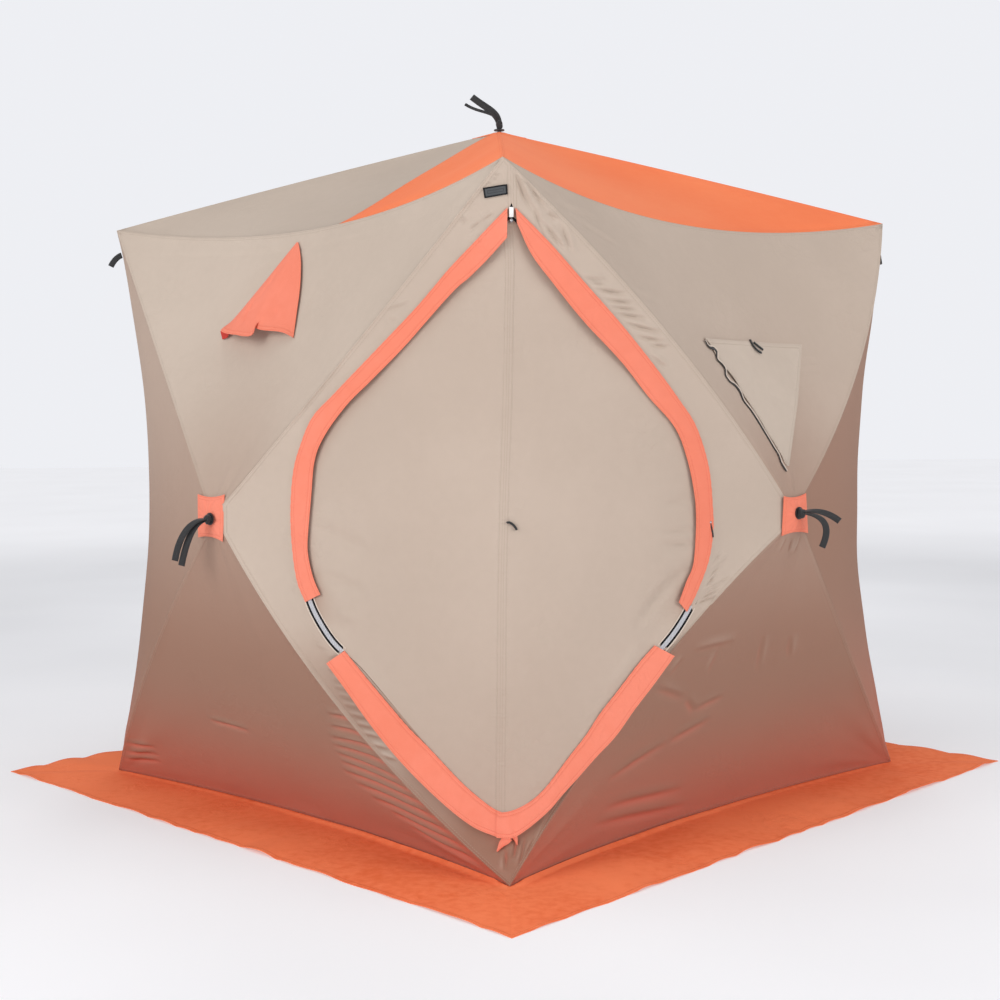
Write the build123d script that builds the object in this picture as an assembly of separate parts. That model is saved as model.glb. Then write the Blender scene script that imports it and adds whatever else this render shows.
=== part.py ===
"""Pop-up fishing shelter: stretched cloth walls on a frame of bowed poles.

Every cloth panel is a thin shell between two curved patches. Neighbouring
panels share the same seam curves, so the shelter closes without overlaps.
Sizes are in millimetres. The origin is on the ground under the roof hub,
+Z is up and the door corner faces -Y.
"""
from build123d import *
import math
import os

os.makedirs("parts", exist_ok=True)

# Main sizes of the shelter
BASE_RADIUS = 1272.8
TOP_RADIUS = 1239.8
EAVE_HEIGHT = 1764.0
ROOF_HEIGHT = 2068.0
HUB_HEIGHT = 876.0
HUB_REACH = 1128.0
SKIRT_REACH = 1628.0

# Cloth
CLOTH = 3.0
SEAM_SHRINK = 0.0006
LAYER_GAP = 0.5
EAVE_IN = 83.0
EAVE_DOWN = 81.0
HEM_IN = 72.0
CORNER_IN = 105.0
CORNER_ROUND = 0.6
RIDGE_UP = 5.0
HUB_HOLE = 55.0
SKIRT_LAP = 14.0

# Door: a kite with rounded sides that spans the near corner
DOOR_DROP = 106.0
DOOR_SILL = 102.0
DOOR_SHARE = 0.6596
DOOR_ROUND_SHARE = 0.6586
DOOR_TOP_SHIFT = 20.0
DOOR_LOW_SHIFT = -8.0
DOOR_SIDE_SHIFT = -8.0
DOOR_TOP = EAVE_HEIGHT - DOOR_DROP
DOOR_BOTTOM = DOOR_SILL
DOOR_SIDE_Z = HUB_HEIGHT + 16.0
DOOR_HALF = HUB_REACH * DOOR_SHARE
DOOR_ROUND = DOOR_HALF * DOOR_ROUND_SHARE
ZIP_WIDTH = 24.0
ZIP_GAP = 0.4
FLAP_WIDTH = 52.0
FLAP_TOP_END_Z = DOOR_SIDE_Z - 228.0
FLAP_LOW_END_Z = FLAP_TOP_END_Z - 119.0

# Window and vent, both in the upper wall panels
EAVE_MIDDLE = EAVE_HEIGHT - EAVE_DOWN
WINDOW_DROP = 336.0
WINDOW_RISE = 122.0
WINDOW_HALF = 243.0
WINDOW_TOP = EAVE_MIDDLE - WINDOW_DROP
WINDOW_APEX = HUB_HEIGHT + WINDOW_RISE
WINDOW_LAP = 30.0
PANE_GAP = 0.4
HOOD_DROP = 31.0
HOOD_TALL = 273.0
HOOD_HALF = 175.0
HOOD_OUT = 46.0
HOOD_APEX = EAVE_MIDDLE - HOOD_DROP
HOOD_BOTTOM = HOOD_APEX - HOOD_TALL
VENT_INSET = 40.0

# Frame
POLE_RADIUS = 5.5
HUB_DEPTH = 46.0
HUB_DISC_RADIUS = 40.0
HUB_DISC_THICK = 14.0
SOCKET_RADIUS = 9.0
SOCKET_LENGTH = 40.0
SOCKET_START = 26.0
CORNER_DEPTH = 46.0
CORNER_BALL = 15.0
CUP_LENGTH = 50.0
CUP_START = 17.0
SLIDE_FIT = 0.25

# Patches and straps
PATCH_REACH = 90.0
PATCH_LIFT = 1.2
STUD_RADIUS = 6.0
WASHER_RADIUS = 17.0
WASHER_THICK = 3.0
STRAP_WIDTH = 22.0
STRAP_THICK = 2.4
LOOP_LIFT = 0.75

WALLS = ("front_left", "front_right", "back_left", "back_right")
NORMALS = {
    "front_left": Vector(-1, -1, 0).normalized(),
    "front_right": Vector(1, -1, 0).normalized(),
    "back_left": Vector(-1, 1, 0).normalized(),
    "back_right": Vector(1, 1, 0).normalized(),
}
CORNER_AXES = {
    "front": Vector(0, -1, 0),
    "back": Vector(0, 1, 0),
    "left": Vector(-1, 0, 0),
    "right": Vector(1, 0, 0),
}
DOOR_SIDE = {"front_left": "front", "front_right": "front", "back_left": "back", "back_right": "back"}
FAR_SIDE = {"front_left": "left", "front_right": "right", "back_left": "left", "back_right": "right"}

# How far each pole bows (outward, upward in the wall) between hub and corner
BOWS_A = {"top_door": (5, -12), "top_far": (0, 0), "low_door": (35, -40), "low_far": (35, 0)}
BOWS_B = {"top_door": (45, 12), "top_far": (40, -35), "low_door": (5, 60), "low_far": (0, 0)}
BOWS = {"front_left": BOWS_A, "back_right": BOWS_A, "front_right": BOWS_B, "back_left": BOWS_B}

UP = Vector(0, 0, 1)
HEM_Z = CLOTH + 0.3


def top_corner(side):
    """Outer corner point at the eave."""
    return CORNER_AXES[side] * TOP_RADIUS + UP * EAVE_HEIGHT


def low_corner(side):
    """Outer corner point at the hem."""
    return CORNER_AXES[side] * BASE_RADIUS + UP * HEM_Z


def hub_point(wall):
    """Point where the four pole seams of a wall cross."""
    return NORMALS[wall] * HUB_REACH + UP * HUB_HEIGHT


def along(wall):
    """Horizontal direction in a wall, 90 degrees left of its normal."""
    normal = NORMALS[wall]
    return Vector(-normal.Y, normal.X, 0)


# A seam is three pairs of (outer point, inward thickness vector)
def top_pair(side):
    inward = (CORNER_AXES[side] * -0.8 - UP * 0.6) * (1.4 * CLOTH)
    return (top_corner(side), inward)


def low_pair(side):
    return (low_corner(side), CORNER_AXES[side] * (-1.3 * CLOTH))


def pole_seam(wall, key):
    """Seam from the wall hub to one of the wall's corners, over a pole."""
    high = key.startswith("top")
    side = DOOR_SIDE[wall] if key.endswith("door") else FAR_SIDE[wall]
    end = top_pair(side) if high else low_pair(side)
    hub = hub_point(wall)
    line = (end[0] - hub).normalized()
    rise = NORMALS[wall].cross(line).normalized()
    if rise.Z < 0:
        rise = rise * -1
    out_bow, up_bow = BOWS[wall][key]
    start = hub + line * HUB_HOLE
    middle = (start + end[0]) * 0.5 + NORMALS[wall] * (2 * out_bow) + rise * (2 * up_bow)
    inward = NORMALS[wall] * -CLOTH
    return [(start, inward), (middle, inward), end]


def eave_seam(wall):
    """Free-hanging seam between an upper wall panel and its roof panel."""
    first = top_pair(FAR_SIDE[wall])
    last = top_pair(DOOR_SIDE[wall])
    middle = (first[0] + last[0]) * 0.5 - NORMALS[wall] * (2 * EAVE_IN) - UP * (2 * EAVE_DOWN)
    inward = (NORMALS[wall] + UP) * (-0.95 * CLOTH)
    return [first, (middle, inward), last]


def hem_seam(wall):
    first = low_pair(FAR_SIDE[wall])
    last = low_pair(DOOR_SIDE[wall])
    middle = (first[0] + last[0]) * 0.5 - NORMALS[wall] * (2 * HEM_IN)
    return [first, (middle, NORMALS[wall] * -CLOTH), last]


def corner_seam(side):
    """Upright fold of a corner panel, from eave to hem."""
    top = top_pair(side)
    low = low_pair(side)
    middle = (top[0] + low[0]) * 0.5 - CORNER_AXES[side] * (2 * CORNER_IN)
    return [top, (middle, CORNER_AXES[side] * (-1.2 * CLOTH)), low]


def ridge_seam(side):
    """Seam from the roof hub down to a top corner."""
    end = top_pair(side)
    hub = UP * ROOF_HEIGHT
    line = (end[0] - hub).normalized()
    start = hub + line * HUB_HOLE
    middle = (start + end[0]) * 0.5 + UP * (2 * RIDGE_UP)
    return [(start, UP * -CLOTH), (middle, UP * -CLOTH), end]


def raised(seam):
    """The same seam curve written with four points instead of three."""
    first, middle, last = seam
    near = [first[i] * (1 / 3) + middle[i] * (2 / 3) for i in (0, 1)]
    far = [middle[i] * (2 / 3) + last[i] * (1 / 3) for i in (0, 1)]
    return [first, tuple(near), tuple(far), last]


def blend_row(left, right, first_mid, last_mid, first_row, last_row, share):
    """Middle point of a row, blended from the four edges (Coons rule)."""
    result = []
    for i in (0, 1):
        sides = (left[i] + right[i]) * 0.5
        ends = first_mid[i] * (1 - share) + last_mid[i] * share
        low = (first_row[0][i] + first_row[1][i]) * (0.5 * (1 - share))
        high = (last_row[0][i] + last_row[1][i]) * (0.5 * share)
        result.append(sides + ends - low - high)
    return tuple(result)


def panel_net(seam_a, seam_b, far_seam):
    """Rows of control pairs from the hub edge to the far seam."""
    first_mid = tuple((seam_a[0][i] + seam_b[0][i]) * 0.5 for i in (0, 1))
    rows = [[seam_a[0], first_mid, seam_b[0]]]
    count = len(seam_a) - 1
    for row in range(1, count):
        share = row / count
        ends = ((seam_a[0], seam_b[0]), (seam_a[count], seam_b[count]))
        mid = blend_row(seam_a[row], seam_b[row], first_mid, far_seam[1], *ends, share)
        rows.append([seam_a[row], mid, seam_b[row]])
    rows.append([seam_a[count], far_seam[1], seam_b[count]])
    return rows


def upper_net(wall):
    return panel_net(pole_seam(wall, "top_far"), pole_seam(wall, "top_door"), eave_seam(wall))


def lower_net(wall):
    return panel_net(pole_seam(wall, "low_far"), pole_seam(wall, "low_door"), hem_seam(wall))


def roof_net(wall):
    return panel_net(ridge_seam(FAR_SIDE[wall]), ridge_seam(DOOR_SIDE[wall]), eave_seam(wall))


def corner_net(wall, side):
    """Half of a corner panel, rounded over towards the upright fold."""
    place = "door" if side == DOOR_SIDE[wall] else "far"
    seam_a = raised(pole_seam(wall, "top_" + place))
    seam_b = raised(pole_seam(wall, "low_" + place))
    net = panel_net(seam_a, seam_b, corner_seam(side))
    axis = CORNER_AXES[side]
    fold = sum(weight * pair[0].dot(axis) for weight, pair in zip((1, 2, 1), net[3])) / 4
    flat = sum(weight * pair[0].dot(axis) for weight, pair in zip((1, 2, 1), net[2])) / 4
    point, inward = net[2][1]
    net[2][1] = (point + axis * (2 * (fold - flat) * CORNER_ROUND), inward)
    return net


def surface_points(net, lift):
    """Outer and inner control points, both moved outward by lift."""
    outer = []
    inner = []
    for row in net:
        outer.append([point - inward * (lift / CLOTH) for point, inward in row])
        inner.append([point - inward * (lift / CLOTH - 1) for point, inward in row])
    return outer, inner


def shrunk(outer, inner, factor):
    """Both point nets drawn smaller about their common centre."""
    flat = [point for row in outer + inner for point in row]
    centre = Vector(0, 0, 0)
    for point in flat:
        centre = centre + point * (1 / len(flat))
    return [
        [[centre + (point - centre) * factor for point in row] for row in rows]
        for rows in (outer, inner)
    ]


def side_face(outer_edge, inner_edge):
    return Face.make_bezier_surface([outer_edge, inner_edge])


def net_edges(points):
    """The four boundary rows of a point net."""
    return [points[0], points[-1], [row[0] for row in points], [row[-1] for row in points]]


def panel_solid(net, lift=0.0, factor=1 - SEAM_SHRINK):
    """Cloth solid between the outer and the inner patch of a net."""
    outer, inner = shrunk(*surface_points(net, lift), factor)
    faces = [Face.make_bezier_surface(outer), Face.make_bezier_surface(inner)]
    for edge, mate in zip(net_edges(outer), net_edges(inner)):
        faces.append(side_face(edge, mate))
    return sound(Solid(Shell(faces)))


def folded_solid(net_a, net_b, lift=0.0, factor=1 - SEAM_SHRINK):
    """Two panel nets sewn into one solid along their shared last row."""
    outer_a, inner_a = surface_points(net_a, lift)
    outer_b, inner_b = surface_points(net_b, lift)
    rows = len(outer_a)
    outer, inner = shrunk(outer_a + outer_b, inner_a + inner_b, factor)
    faces = []
    for part in (slice(0, rows), slice(rows, None)):
        out_part = outer[part]
        in_part = inner[part]
        faces.append(Face.make_bezier_surface(out_part))
        faces.append(Face.make_bezier_surface(in_part))
        for number, (edge, mate) in enumerate(zip(net_edges(out_part), net_edges(in_part))):
            if number != 1:
                faces.append(side_face(edge, mate))
    return sound(Solid(Shell(faces)))


def sound(solid):
    """A solid with its faces turned outward."""
    return solid if solid.volume > 0 else Solid(solid.wrapped.Reversed())


def flat_sided(polygons):
    """Solid from flat polygons."""
    faces = [Face(Wire.make_polygon(points, close=True)) for points in polygons]
    return sound(Solid(Shell(faces)))


def curve_point(points, t):
    """Point on the curve with three control points."""
    return points[0] * (1 - t) ** 2 + points[1] * (2 * t * (1 - t)) + points[2] * t**2


def in_wall(wall, side, out, height):
    """Point given by its place along a wall, its distance out and its height."""
    return along(wall) * side + NORMALS[wall] * out + UP * height


def wall_prism(wall, outline):
    """Prism through a wall from (along, height) points."""
    face = Face(Wire.make_polygon([in_wall(wall, x, 600, z) for x, z in outline], close=True))
    return Solid.extrude(face, NORMALS[wall] * 800)


def triangle(half, base_z, apex_z, inset):
    """Isosceles triangle on x = 0 with every edge moved in by inset."""
    rise = abs(apex_z - base_z)
    slant = math.hypot(half, rise)
    turn = 1 if apex_z > base_z else -1
    apex_in = inset * slant / half
    base = base_z + turn * inset
    new_rise = rise - apex_in - inset
    new_half = half * new_rise / rise
    return [(-new_half, base), (new_half, base), (0, apex_z - turn * apex_in)]


def door_prism(inset):
    """Prism through the door corner, from the door outline moved in by inset."""
    outline = [
        (DOOR_TOP_SHIFT, DOOR_TOP),
        (DOOR_SIDE_SHIFT + DOOR_HALF, DOOR_SIDE_Z),
        (DOOR_LOW_SHIFT, DOOR_BOTTOM),
        (DOOR_SIDE_SHIFT - DOOR_HALF, DOOR_SIDE_Z),
    ]
    with BuildSketch(Plane.XZ) as sketch:
        Polygon(*outline, align=None)
        fillet([v for v in sketch.vertices() if abs(v.X) > DOOR_HALF / 2], DOOR_ROUND)
        if inset:
            offset(amount=-inset, kind=Kind.INTERSECTION)
    return Solid.extrude(sketch.sketch.face().moved(Location((0, -700, 0))), Vector(0, -700, 0))


def band_prism(outer_inset, inner_inset):
    return door_prism(outer_inset) - door_prism(inner_inset)


def side_prism(low, high, sign):
    """Prism that keeps one stretch of a band, on one side of the door's middle line."""
    lean = (DOOR_TOP_SHIFT - DOOR_LOW_SHIFT) / (DOOR_TOP - DOOR_BOTTOM)
    ends = [DOOR_LOW_SHIFT + lean * (z - DOOR_BOTTOM) + sign for z in (low, high)]
    outline = [(ends[0], low), (sign * HUB_REACH, low), (sign * HUB_REACH, high), (ends[1], high)]
    face = Face(Wire.make_polygon([(x, -400, z) for x, z in outline], close=True))
    return Solid.extrude(face, Vector(0, -1200, 0))


def strip(points, across, width=STRAP_WIDTH, thick=STRAP_THICK):
    """Flat webbing along a smooth curve of control points, square to it all the way."""
    half = across.normalized() * (width / 2)
    last = len(points) - 1
    deeps = []
    for i in range(len(points)):
        line = points[min(i + 1, last)] - points[max(i - 1, 0)]
        deeps.append(half.cross(line).normalized() * thick)
    outer = [[point - half, point + half] for point in points]
    inner = [[point - half - deep, point + half - deep] for point, deep in zip(points, deeps)]
    faces = [Face.make_bezier_surface(outer), Face.make_bezier_surface(inner)]
    for edge, mate in zip(net_edges(outer), net_edges(inner)):
        faces.append(side_face(edge, mate))
    return sound(Solid(Shell(faces)))


def rod(centre, direction, radius, start, length):
    """Cylinder that starts at a distance from a point along a direction."""
    line = direction.normalized()
    plane = Plane(origin=centre + line * start, z_dir=line)
    return Solid.make_cylinder(radius, length, plane)


def save(name, *solids):
    """One STEP file for a node."""
    pieces = [piece for solid in solids for piece in solid.solids()]
    shape = pieces[0] if len(pieces) == 1 else Compound(children=pieces)
    export_step(shape, "parts/" + name + ".step")


# Frame geometry: hub and corner centres lie behind the cloth
def hub_centre(wall):
    return hub_point(wall) - NORMALS[wall] * HUB_DEPTH


ROOF_CENTRE = UP * (ROOF_HEIGHT - HUB_DEPTH)


def top_centre(side):
    return top_corner(side) - (CORNER_AXES[side] * 0.75 + UP * 0.66) * CORNER_DEPTH


def low_centre(side):
    return low_corner(side) - CORNER_AXES[side] * CORNER_DEPTH + UP * (CORNER_BALL + 4)


def pole_line(hub, corner, middle):
    """Three control points of a pole's centre line."""
    start = hub + (middle - hub).normalized() * SOCKET_START
    end = corner + (middle - corner).normalized() * CUP_START
    return [start, middle, end]


def wall_pole(wall, key):
    side = DOOR_SIDE[wall] if key.endswith("door") else FAR_SIDE[wall]
    corner = top_centre(side) if key.startswith("top") else low_centre(side)
    middle = pole_seam(wall, key)[1][0] - NORMALS[wall] * (CLOTH + 3 * POLE_RADIUS)
    return pole_line(hub_centre(wall), corner, middle)


def roof_pole(side):
    middle = ridge_seam(side)[1][0] - UP * (CLOTH + 3 * POLE_RADIUS)
    return pole_line(ROOF_CENTRE, top_centre(side), middle)


def pole_solid(line):
    path = Edge.make_bezier(*line)
    plane = Plane(origin=line[0], z_dir=line[1] - line[0])
    section = Face(Wire(Edge.make_circle(POLE_RADIUS, plane)))
    return Solid.sweep(section, path)


def socket(centre, line_point, start, length):
    """Round cup that a pole end slides into."""
    cup = rod(centre, line_point - centre, SOCKET_RADIUS, start - 10, length)
    return cup - rod(centre, line_point - centre, POLE_RADIUS + SLIDE_FIT, start, length)


def frame_hub(centre, axis, lines, reach):
    """Disc with a stud through the cloth and one swivelling cup for each pole."""
    disc = rod(centre, axis, HUB_DISC_RADIUS, -HUB_DISC_THICK / 2, HUB_DISC_THICK)
    rim = rod(centre, axis, HUB_DISC_RADIUS - 6, HUB_DISC_THICK / 2, 4)
    stud = rod(centre, axis, STUD_RADIUS, 0, reach)
    washer = rod(centre, axis, WASHER_RADIUS, reach - WASHER_THICK, WASHER_THICK)
    body = disc + rim + stud + washer
    for line in lines:
        body = body - rod(centre, line[1] - centre, SOCKET_RADIUS + 1, 14, HUB_DISC_RADIUS)
    cups = [socket(centre, line[1], SOCKET_START, SOCKET_LENGTH) for line in lines]
    pins = []
    for line in lines:
        across = axis.cross(line[1] - centre).normalized()
        middle = centre + (line[1] - centre).normalized() * (SOCKET_START - 3)
        pins.append(rod(middle, across, 2.5, -13, 26))
    for cup, pin in zip(cups, pins):
        body = body + cup + pin
    for line in lines:
        body = body - rod(centre, line[1] - centre, POLE_RADIUS + SLIDE_FIT, SOCKET_START, SOCKET_LENGTH)
    return body


def corner_socket(centre, side, lines):
    """Moulded ball with one cup for each pole end."""
    axis = CORNER_AXES[side]
    body = Solid.make_sphere(CORNER_BALL, Plane(origin=centre, x_dir=axis, z_dir=UP.cross(axis)))
    for line in lines:
        body = body + rod(centre, line[1] - centre, SOCKET_RADIUS, 0, CUP_LENGTH)
    for line in lines:
        body = body - rod(centre, line[1] - centre, POLE_RADIUS + SLIDE_FIT, CUP_START, CUP_LENGTH)
    return body


def patch_point(wall, key):
    """Corner of a hub patch, on the seam it covers."""
    points = [pair[0] for pair in pole_seam(wall, key)]
    share = (PATCH_REACH - HUB_HOLE) / (2 * (points[1] - points[0]).length)
    return curve_point(points, share)


def pyramid_patch(apex, corners, axis, hole):
    """Four-sided cap of cloth with a hole for the stud."""
    low = [point + axis * PATCH_LIFT for point in corners]
    high = [point + axis * CLOTH for point in low]
    low_apex = apex + axis * PATCH_LIFT
    high_apex = low_apex + axis * CLOTH
    polygons = []
    for i in range(4):
        j = (i + 1) % 4
        polygons.append([low[i], low[j], low_apex])
        polygons.append([high[i], high[j], high_apex])
        polygons.append([low[i], low[j], high[j]])
        polygons.append([low[i], high[j], high[i]])
    return flat_sided(polygons) - rod(apex, axis, hole, -60, 120)


# Walls
window_cut = triangle(WINDOW_HALF, WINDOW_TOP, WINDOW_APEX, WINDOW_LAP)
vent_cut = triangle(HOOD_HALF, HOOD_BOTTOM, HOOD_APEX, VENT_INSET)
panes = []
meshes = []
for wall in WALLS:
    upper = panel_solid(upper_net(wall))
    lower = panel_solid(lower_net(wall))
    has_window = wall in ("front_right", "back_left")
    hole = window_cut if has_window else vent_cut
    inset = WINDOW_LAP if has_window else VENT_INSET
    if has_window:
        inner = triangle(WINDOW_HALF, WINDOW_TOP, WINDOW_APEX, inset + PANE_GAP)
        panes.append(upper & wall_prism(wall, inner))
    else:
        inner = triangle(HOOD_HALF, HOOD_BOTTOM, HOOD_APEX, inset + PANE_GAP)
        meshes.append(upper & wall_prism(wall, inner))
    save("wall_upper_" + wall, upper - wall_prism(wall, hole))
    save("wall_lower_" + wall, lower)
    if has_window:
        cover = panel_solid(upper_net(wall), LAYER_GAP + CLOTH)
        outline = triangle(WINDOW_HALF, WINDOW_TOP, WINDOW_APEX, 0)
        save("window_flap_" + wall, cover & wall_prism(wall, outline))
    else:
        base = []
        for x, z in ((-HOOD_HALF, HOOD_BOTTOM), (HOOD_HALF, HOOD_BOTTOM), (0, HOOD_APEX)):
            base.append((x, z))
        net = upper_net(wall)
        outer, inner_points = surface_points(net, 0)
        shell = Face.make_bezier_surface(outer)
        touch = []
        for x, z in base:
            ray = Edge.make_line(in_wall(wall, x, 600, z), in_wall(wall, x, 1400, z))
            hit = shell.intersect(ray)
            touch.append(hit.vertices()[0].center() if hasattr(hit, "vertices") else hit[0].center())
        normal = NORMALS[wall]
        back_left = touch[0] + normal * HOOD_OUT
        back_right = touch[1] + normal * HOOD_OUT
        tip = touch[2] + normal * (CLOTH + 0.4)
        thick = normal * -CLOTH
        skin = flat_sided([
            [back_left, back_right, tip],
            [back_left + thick, back_right + thick, tip + thick],
            [back_left, back_right, back_right + thick, back_left + thick],
            [back_right, tip, tip + thick, back_right + thick],
            [tip, back_left, back_left + thick, tip + thick],
        ])
        save("vent_hood_" + wall, skin)
save("window_panes", *panes)
save("vent_meshes", *meshes)

# Corner panels; the near one takes the door
for side, pair in (("left", ("front_left", "back_left")), ("right", ("front_right", "back_right")),
                   ("back", ("back_left", "back_right"))):
    save("corner_panel_" + side, folded_solid(corner_net(pair[0], side), corner_net(pair[1], side)))

door_nets = (corner_net("front_left", "front"), corner_net("front_right", "front"))
door_corner = folded_solid(*door_nets)
save("door_surround", door_corner - door_prism(0))
save("door_zip", door_corner & band_prism(ZIP_GAP, ZIP_WIDTH))
save("door_panel", door_corner & door_prism(ZIP_WIDTH + ZIP_GAP))

# Storm flaps lie over the zip, one layer further out
flap_layer = folded_solid(*door_nets, lift=LAYER_GAP + CLOTH)
flap_band = flap_layer & band_prism(0, FLAP_WIDTH)
top_stretch = (FLAP_TOP_END_Z, DOOR_TOP + 10)
low_stretch = (DOOR_BOTTOM - 10, FLAP_LOW_END_Z)
save("door_flap_upper_left", flap_band & side_prism(*top_stretch, -1))
save("door_flap_upper_right", flap_band & side_prism(*top_stretch, 1))
save("door_flap_lower_left", flap_band & side_prism(*low_stretch, -1))
save("door_flap_lower_right", flap_band & side_prism(*low_stretch, 1))

# Plain dark patch above the door
patch_face = Face(Wire.make_polygon(
    [(-48, -700, 1697), (12, -700, 1702), (12, -700, 1678), (-46, -700, 1669)], close=True))
save("label_patch", flap_layer & Solid.extrude(patch_face, Vector(0, -700, 0)))

# Roof: the two plain panels, and two panels split by a slanting seam
SPLIT_SHARE = 0.41
for wall in WALLS:
    panel = panel_solid(roof_net(wall))
    if wall in ("front_right", "back_left"):
        save("roof_panel_" + wall, panel)
        continue
    curve = [pair[0] for pair in eave_seam(wall)]
    mark = curve_point(curve, 1 - SPLIT_SHARE)
    ray = Vector(mark.X, mark.Y, 0).normalized()
    turned = Vector(-ray.Y, ray.X, 0)
    door_axis = CORNER_AXES[DOOR_SIDE[wall]]
    if turned.dot(door_axis) < 0:
        turned = turned * -1
    cutter_base = [
        turned * 0.2 - ray * 300, turned * 0.2 + ray * 2000,
        turned * 2000 + ray * 2000, turned * 2000 - ray * 300,
    ]
    cutter = Solid.extrude(Face(Wire.make_polygon(cutter_base, close=True)), UP * 3000)
    back = [point - turned * 0.4 for point in cutter_base]
    keep = Solid.extrude(Face(Wire.make_polygon(back, close=True)), UP * 3000)
    save("roof_accent_" + DOOR_SIDE[wall], panel & cutter)
    save("roof_panel_" + wall, panel - keep)

# Skirt: flat on the ground, one length along each wall
for wall in WALLS:
    normal = NORMALS[wall]
    first, last = FAR_SIDE[wall], DOOR_SIDE[wall]
    inner = [pair[0] - CORNER_AXES[s] * (SKIRT_LAP * 1.4) - UP * HEM_Z
             for pair, s in ((low_pair(first), first), (low_pair(last), last))]
    middle = hem_seam(wall)[1][0] - normal * SKIRT_LAP - UP * HEM_Z
    outer = [CORNER_AXES[s] * SKIRT_REACH for s in (first, last)]
    points = [inner[0], middle, inner[1], outer[1], outer[0]]
    centre = sum(points, Vector(0, 0, 0)) * 0.2
    points = [centre + (point - centre) * (1 - SEAM_SHRINK) for point in points]
    edges = [
        Edge.make_bezier(points[0], points[1], points[2]),
        Edge.make_line(points[2], points[3]),
        Edge.make_line(points[3], points[4]),
        Edge.make_line(points[4], points[0]),
    ]
    save("skirt_" + wall, Solid.extrude(Face(Wire(edges)), UP * CLOTH))

# Frame
wall_lines = {wall: [wall_pole(wall, key) for key in BOWS_A] for wall in WALLS}
roof_lines = {side: roof_pole(side) for side in CORNER_AXES}
hubs = []
patches = []
KEYS_ROUND = ("top_far", "top_door", "low_door", "low_far")
for wall in WALLS:
    corners = [patch_point(wall, key) for key in KEYS_ROUND]
    patches.append(pyramid_patch(hub_point(wall), corners, NORMALS[wall], STUD_RADIUS + SLIDE_FIT))
    reach = HUB_DEPTH + PATCH_LIFT + CLOTH + WASHER_THICK + 0.3
    hubs.append(frame_hub(hub_centre(wall), NORMALS[wall], wall_lines[wall], reach))
roof_corners = []
for side in ("front", "right", "back", "left"):
    points = [pair[0] for pair in ridge_seam(side)]
    share = (PATCH_REACH - HUB_HOLE) / (2 * (points[1] - points[0]).length)
    roof_corners.append(curve_point(points, share))
patches.append(pyramid_patch(UP * ROOF_HEIGHT, roof_corners, UP, STUD_RADIUS + SLIDE_FIT))
save("hub_patches", *patches)
save("wall_hubs", *hubs)
roof_reach = HUB_DEPTH + PATCH_LIFT + CLOTH + WASHER_THICK + 0.3
save("roof_hub", frame_hub(ROOF_CENTRE, UP, list(roof_lines.values()), roof_reach))
save("roof_poles", *[pole_solid(line) for line in roof_lines.values()])
save("wall_poles", *[pole_solid(line) for wall in WALLS for line in wall_lines[wall]])

top_sockets = []
low_sockets = []
for side in CORNER_AXES:
    walls_here = [wall for wall in WALLS if side in (DOOR_SIDE[wall], FAR_SIDE[wall])]
    tops = [roof_lines[side]]
    lows = []
    for wall in walls_here:
        place = "door" if DOOR_SIDE[wall] == side else "far"
        tops.append(wall_pole(wall, "top_" + place))
        lows.append(wall_pole(wall, "low_" + place))
    for centre, lines, found in ((top_centre(side), tops, top_sockets), (low_centre(side), lows, low_sockets)):
        reversed_lines = [[line[2], line[1], line[0]] for line in lines]
        found.append(corner_socket(centre, side, reversed_lines))
save("top_corner_sockets", *top_sockets)
save("bottom_corner_sockets", *low_sockets)

# Pull straps: (along, out from the hub, up) control points of each tail
TAILS_A = (
    ((0, 9, 3), (0, 60, 9), (-30, 80, -40), (-60, 75, -112)),
    ((0, 9, -3), (0, 48, -6), (-20, 58, -50), (-52, 56, -126)),
)
TAILS_B = (
    ((0, 9, -3), (10, 70, -5), (40, 80, -30), (20, 60, -92)),
    ((0, 9, 3), (20, 50, 16), (50, 70, 2), (60, 92, -14)),
)
TAILS = {"front_left": TAILS_A, "back_right": TAILS_A, "front_right": TAILS_B, "back_left": TAILS_B}
straps = []
for wall in WALLS:
    knot_place = hub_point(wall) + NORMALS[wall] * (PATCH_LIFT + CLOTH + 0.6)
    knot = rod(knot_place, NORMALS[wall], 13, WASHER_THICK, 9)
    for tail in TAILS[wall]:
        points = [hub_point(wall) + along(wall) * a + NORMALS[wall] * (b + 5) + UP * c for a, b, c in tail]
        knot = knot + strip(points, along(wall))
    straps.append(knot)
save("wall_pull_straps", *straps)

roof_top = UP * (ROOF_HEIGHT + PATCH_LIFT + CLOTH + 0.6)
knot = rod(roof_top, UP, 12, WASHER_THICK, 24)
wide = [(0, 0, 20), (-4, 0, 60), (-40, 0, 70), (-87, 0, 108)]
thin = [(0, 0, 20), (-10, -4, 66), (-60, -8, 50), (-109, -6, 84)]
for points, size in ((wide, STRAP_WIDTH), (thin, 10)):
    curve = [roof_top + Vector(*point) for point in points]
    knot = knot + strip(curve, Vector(0, 1, 0), width=size)
save("roof_pull_strap", knot)

loops = []
for side in ("left", "right"):
    axis = CORNER_AXES[side]
    top, low = corner_seam(side)[0][0], corner_seam(side)[1][0]
    fold = [pair[0] for pair in corner_seam(side)]
    spot = curve_point(fold, 0.045)
    out = spot + axis * LOOP_LIFT
    points = [out, out + axis * 22 - UP * 8, out + axis * 34 - UP * 38]
    loops.append(strip(points, Vector(0, -axis.X, 0)))
save("corner_loops", *loops)
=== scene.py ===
"""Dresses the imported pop-up shelter: cloth, seams, zips, straps, frame, light and camera.

Lengths are in metres, in the frame of the CAD model: +Z up, the door corner faces -Y.
Every cloth panel is a curved patch with the same control points as its CAD solid, with
folds added along its normal and closed into a thin shell.
"""
from __future__ import annotations

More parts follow.
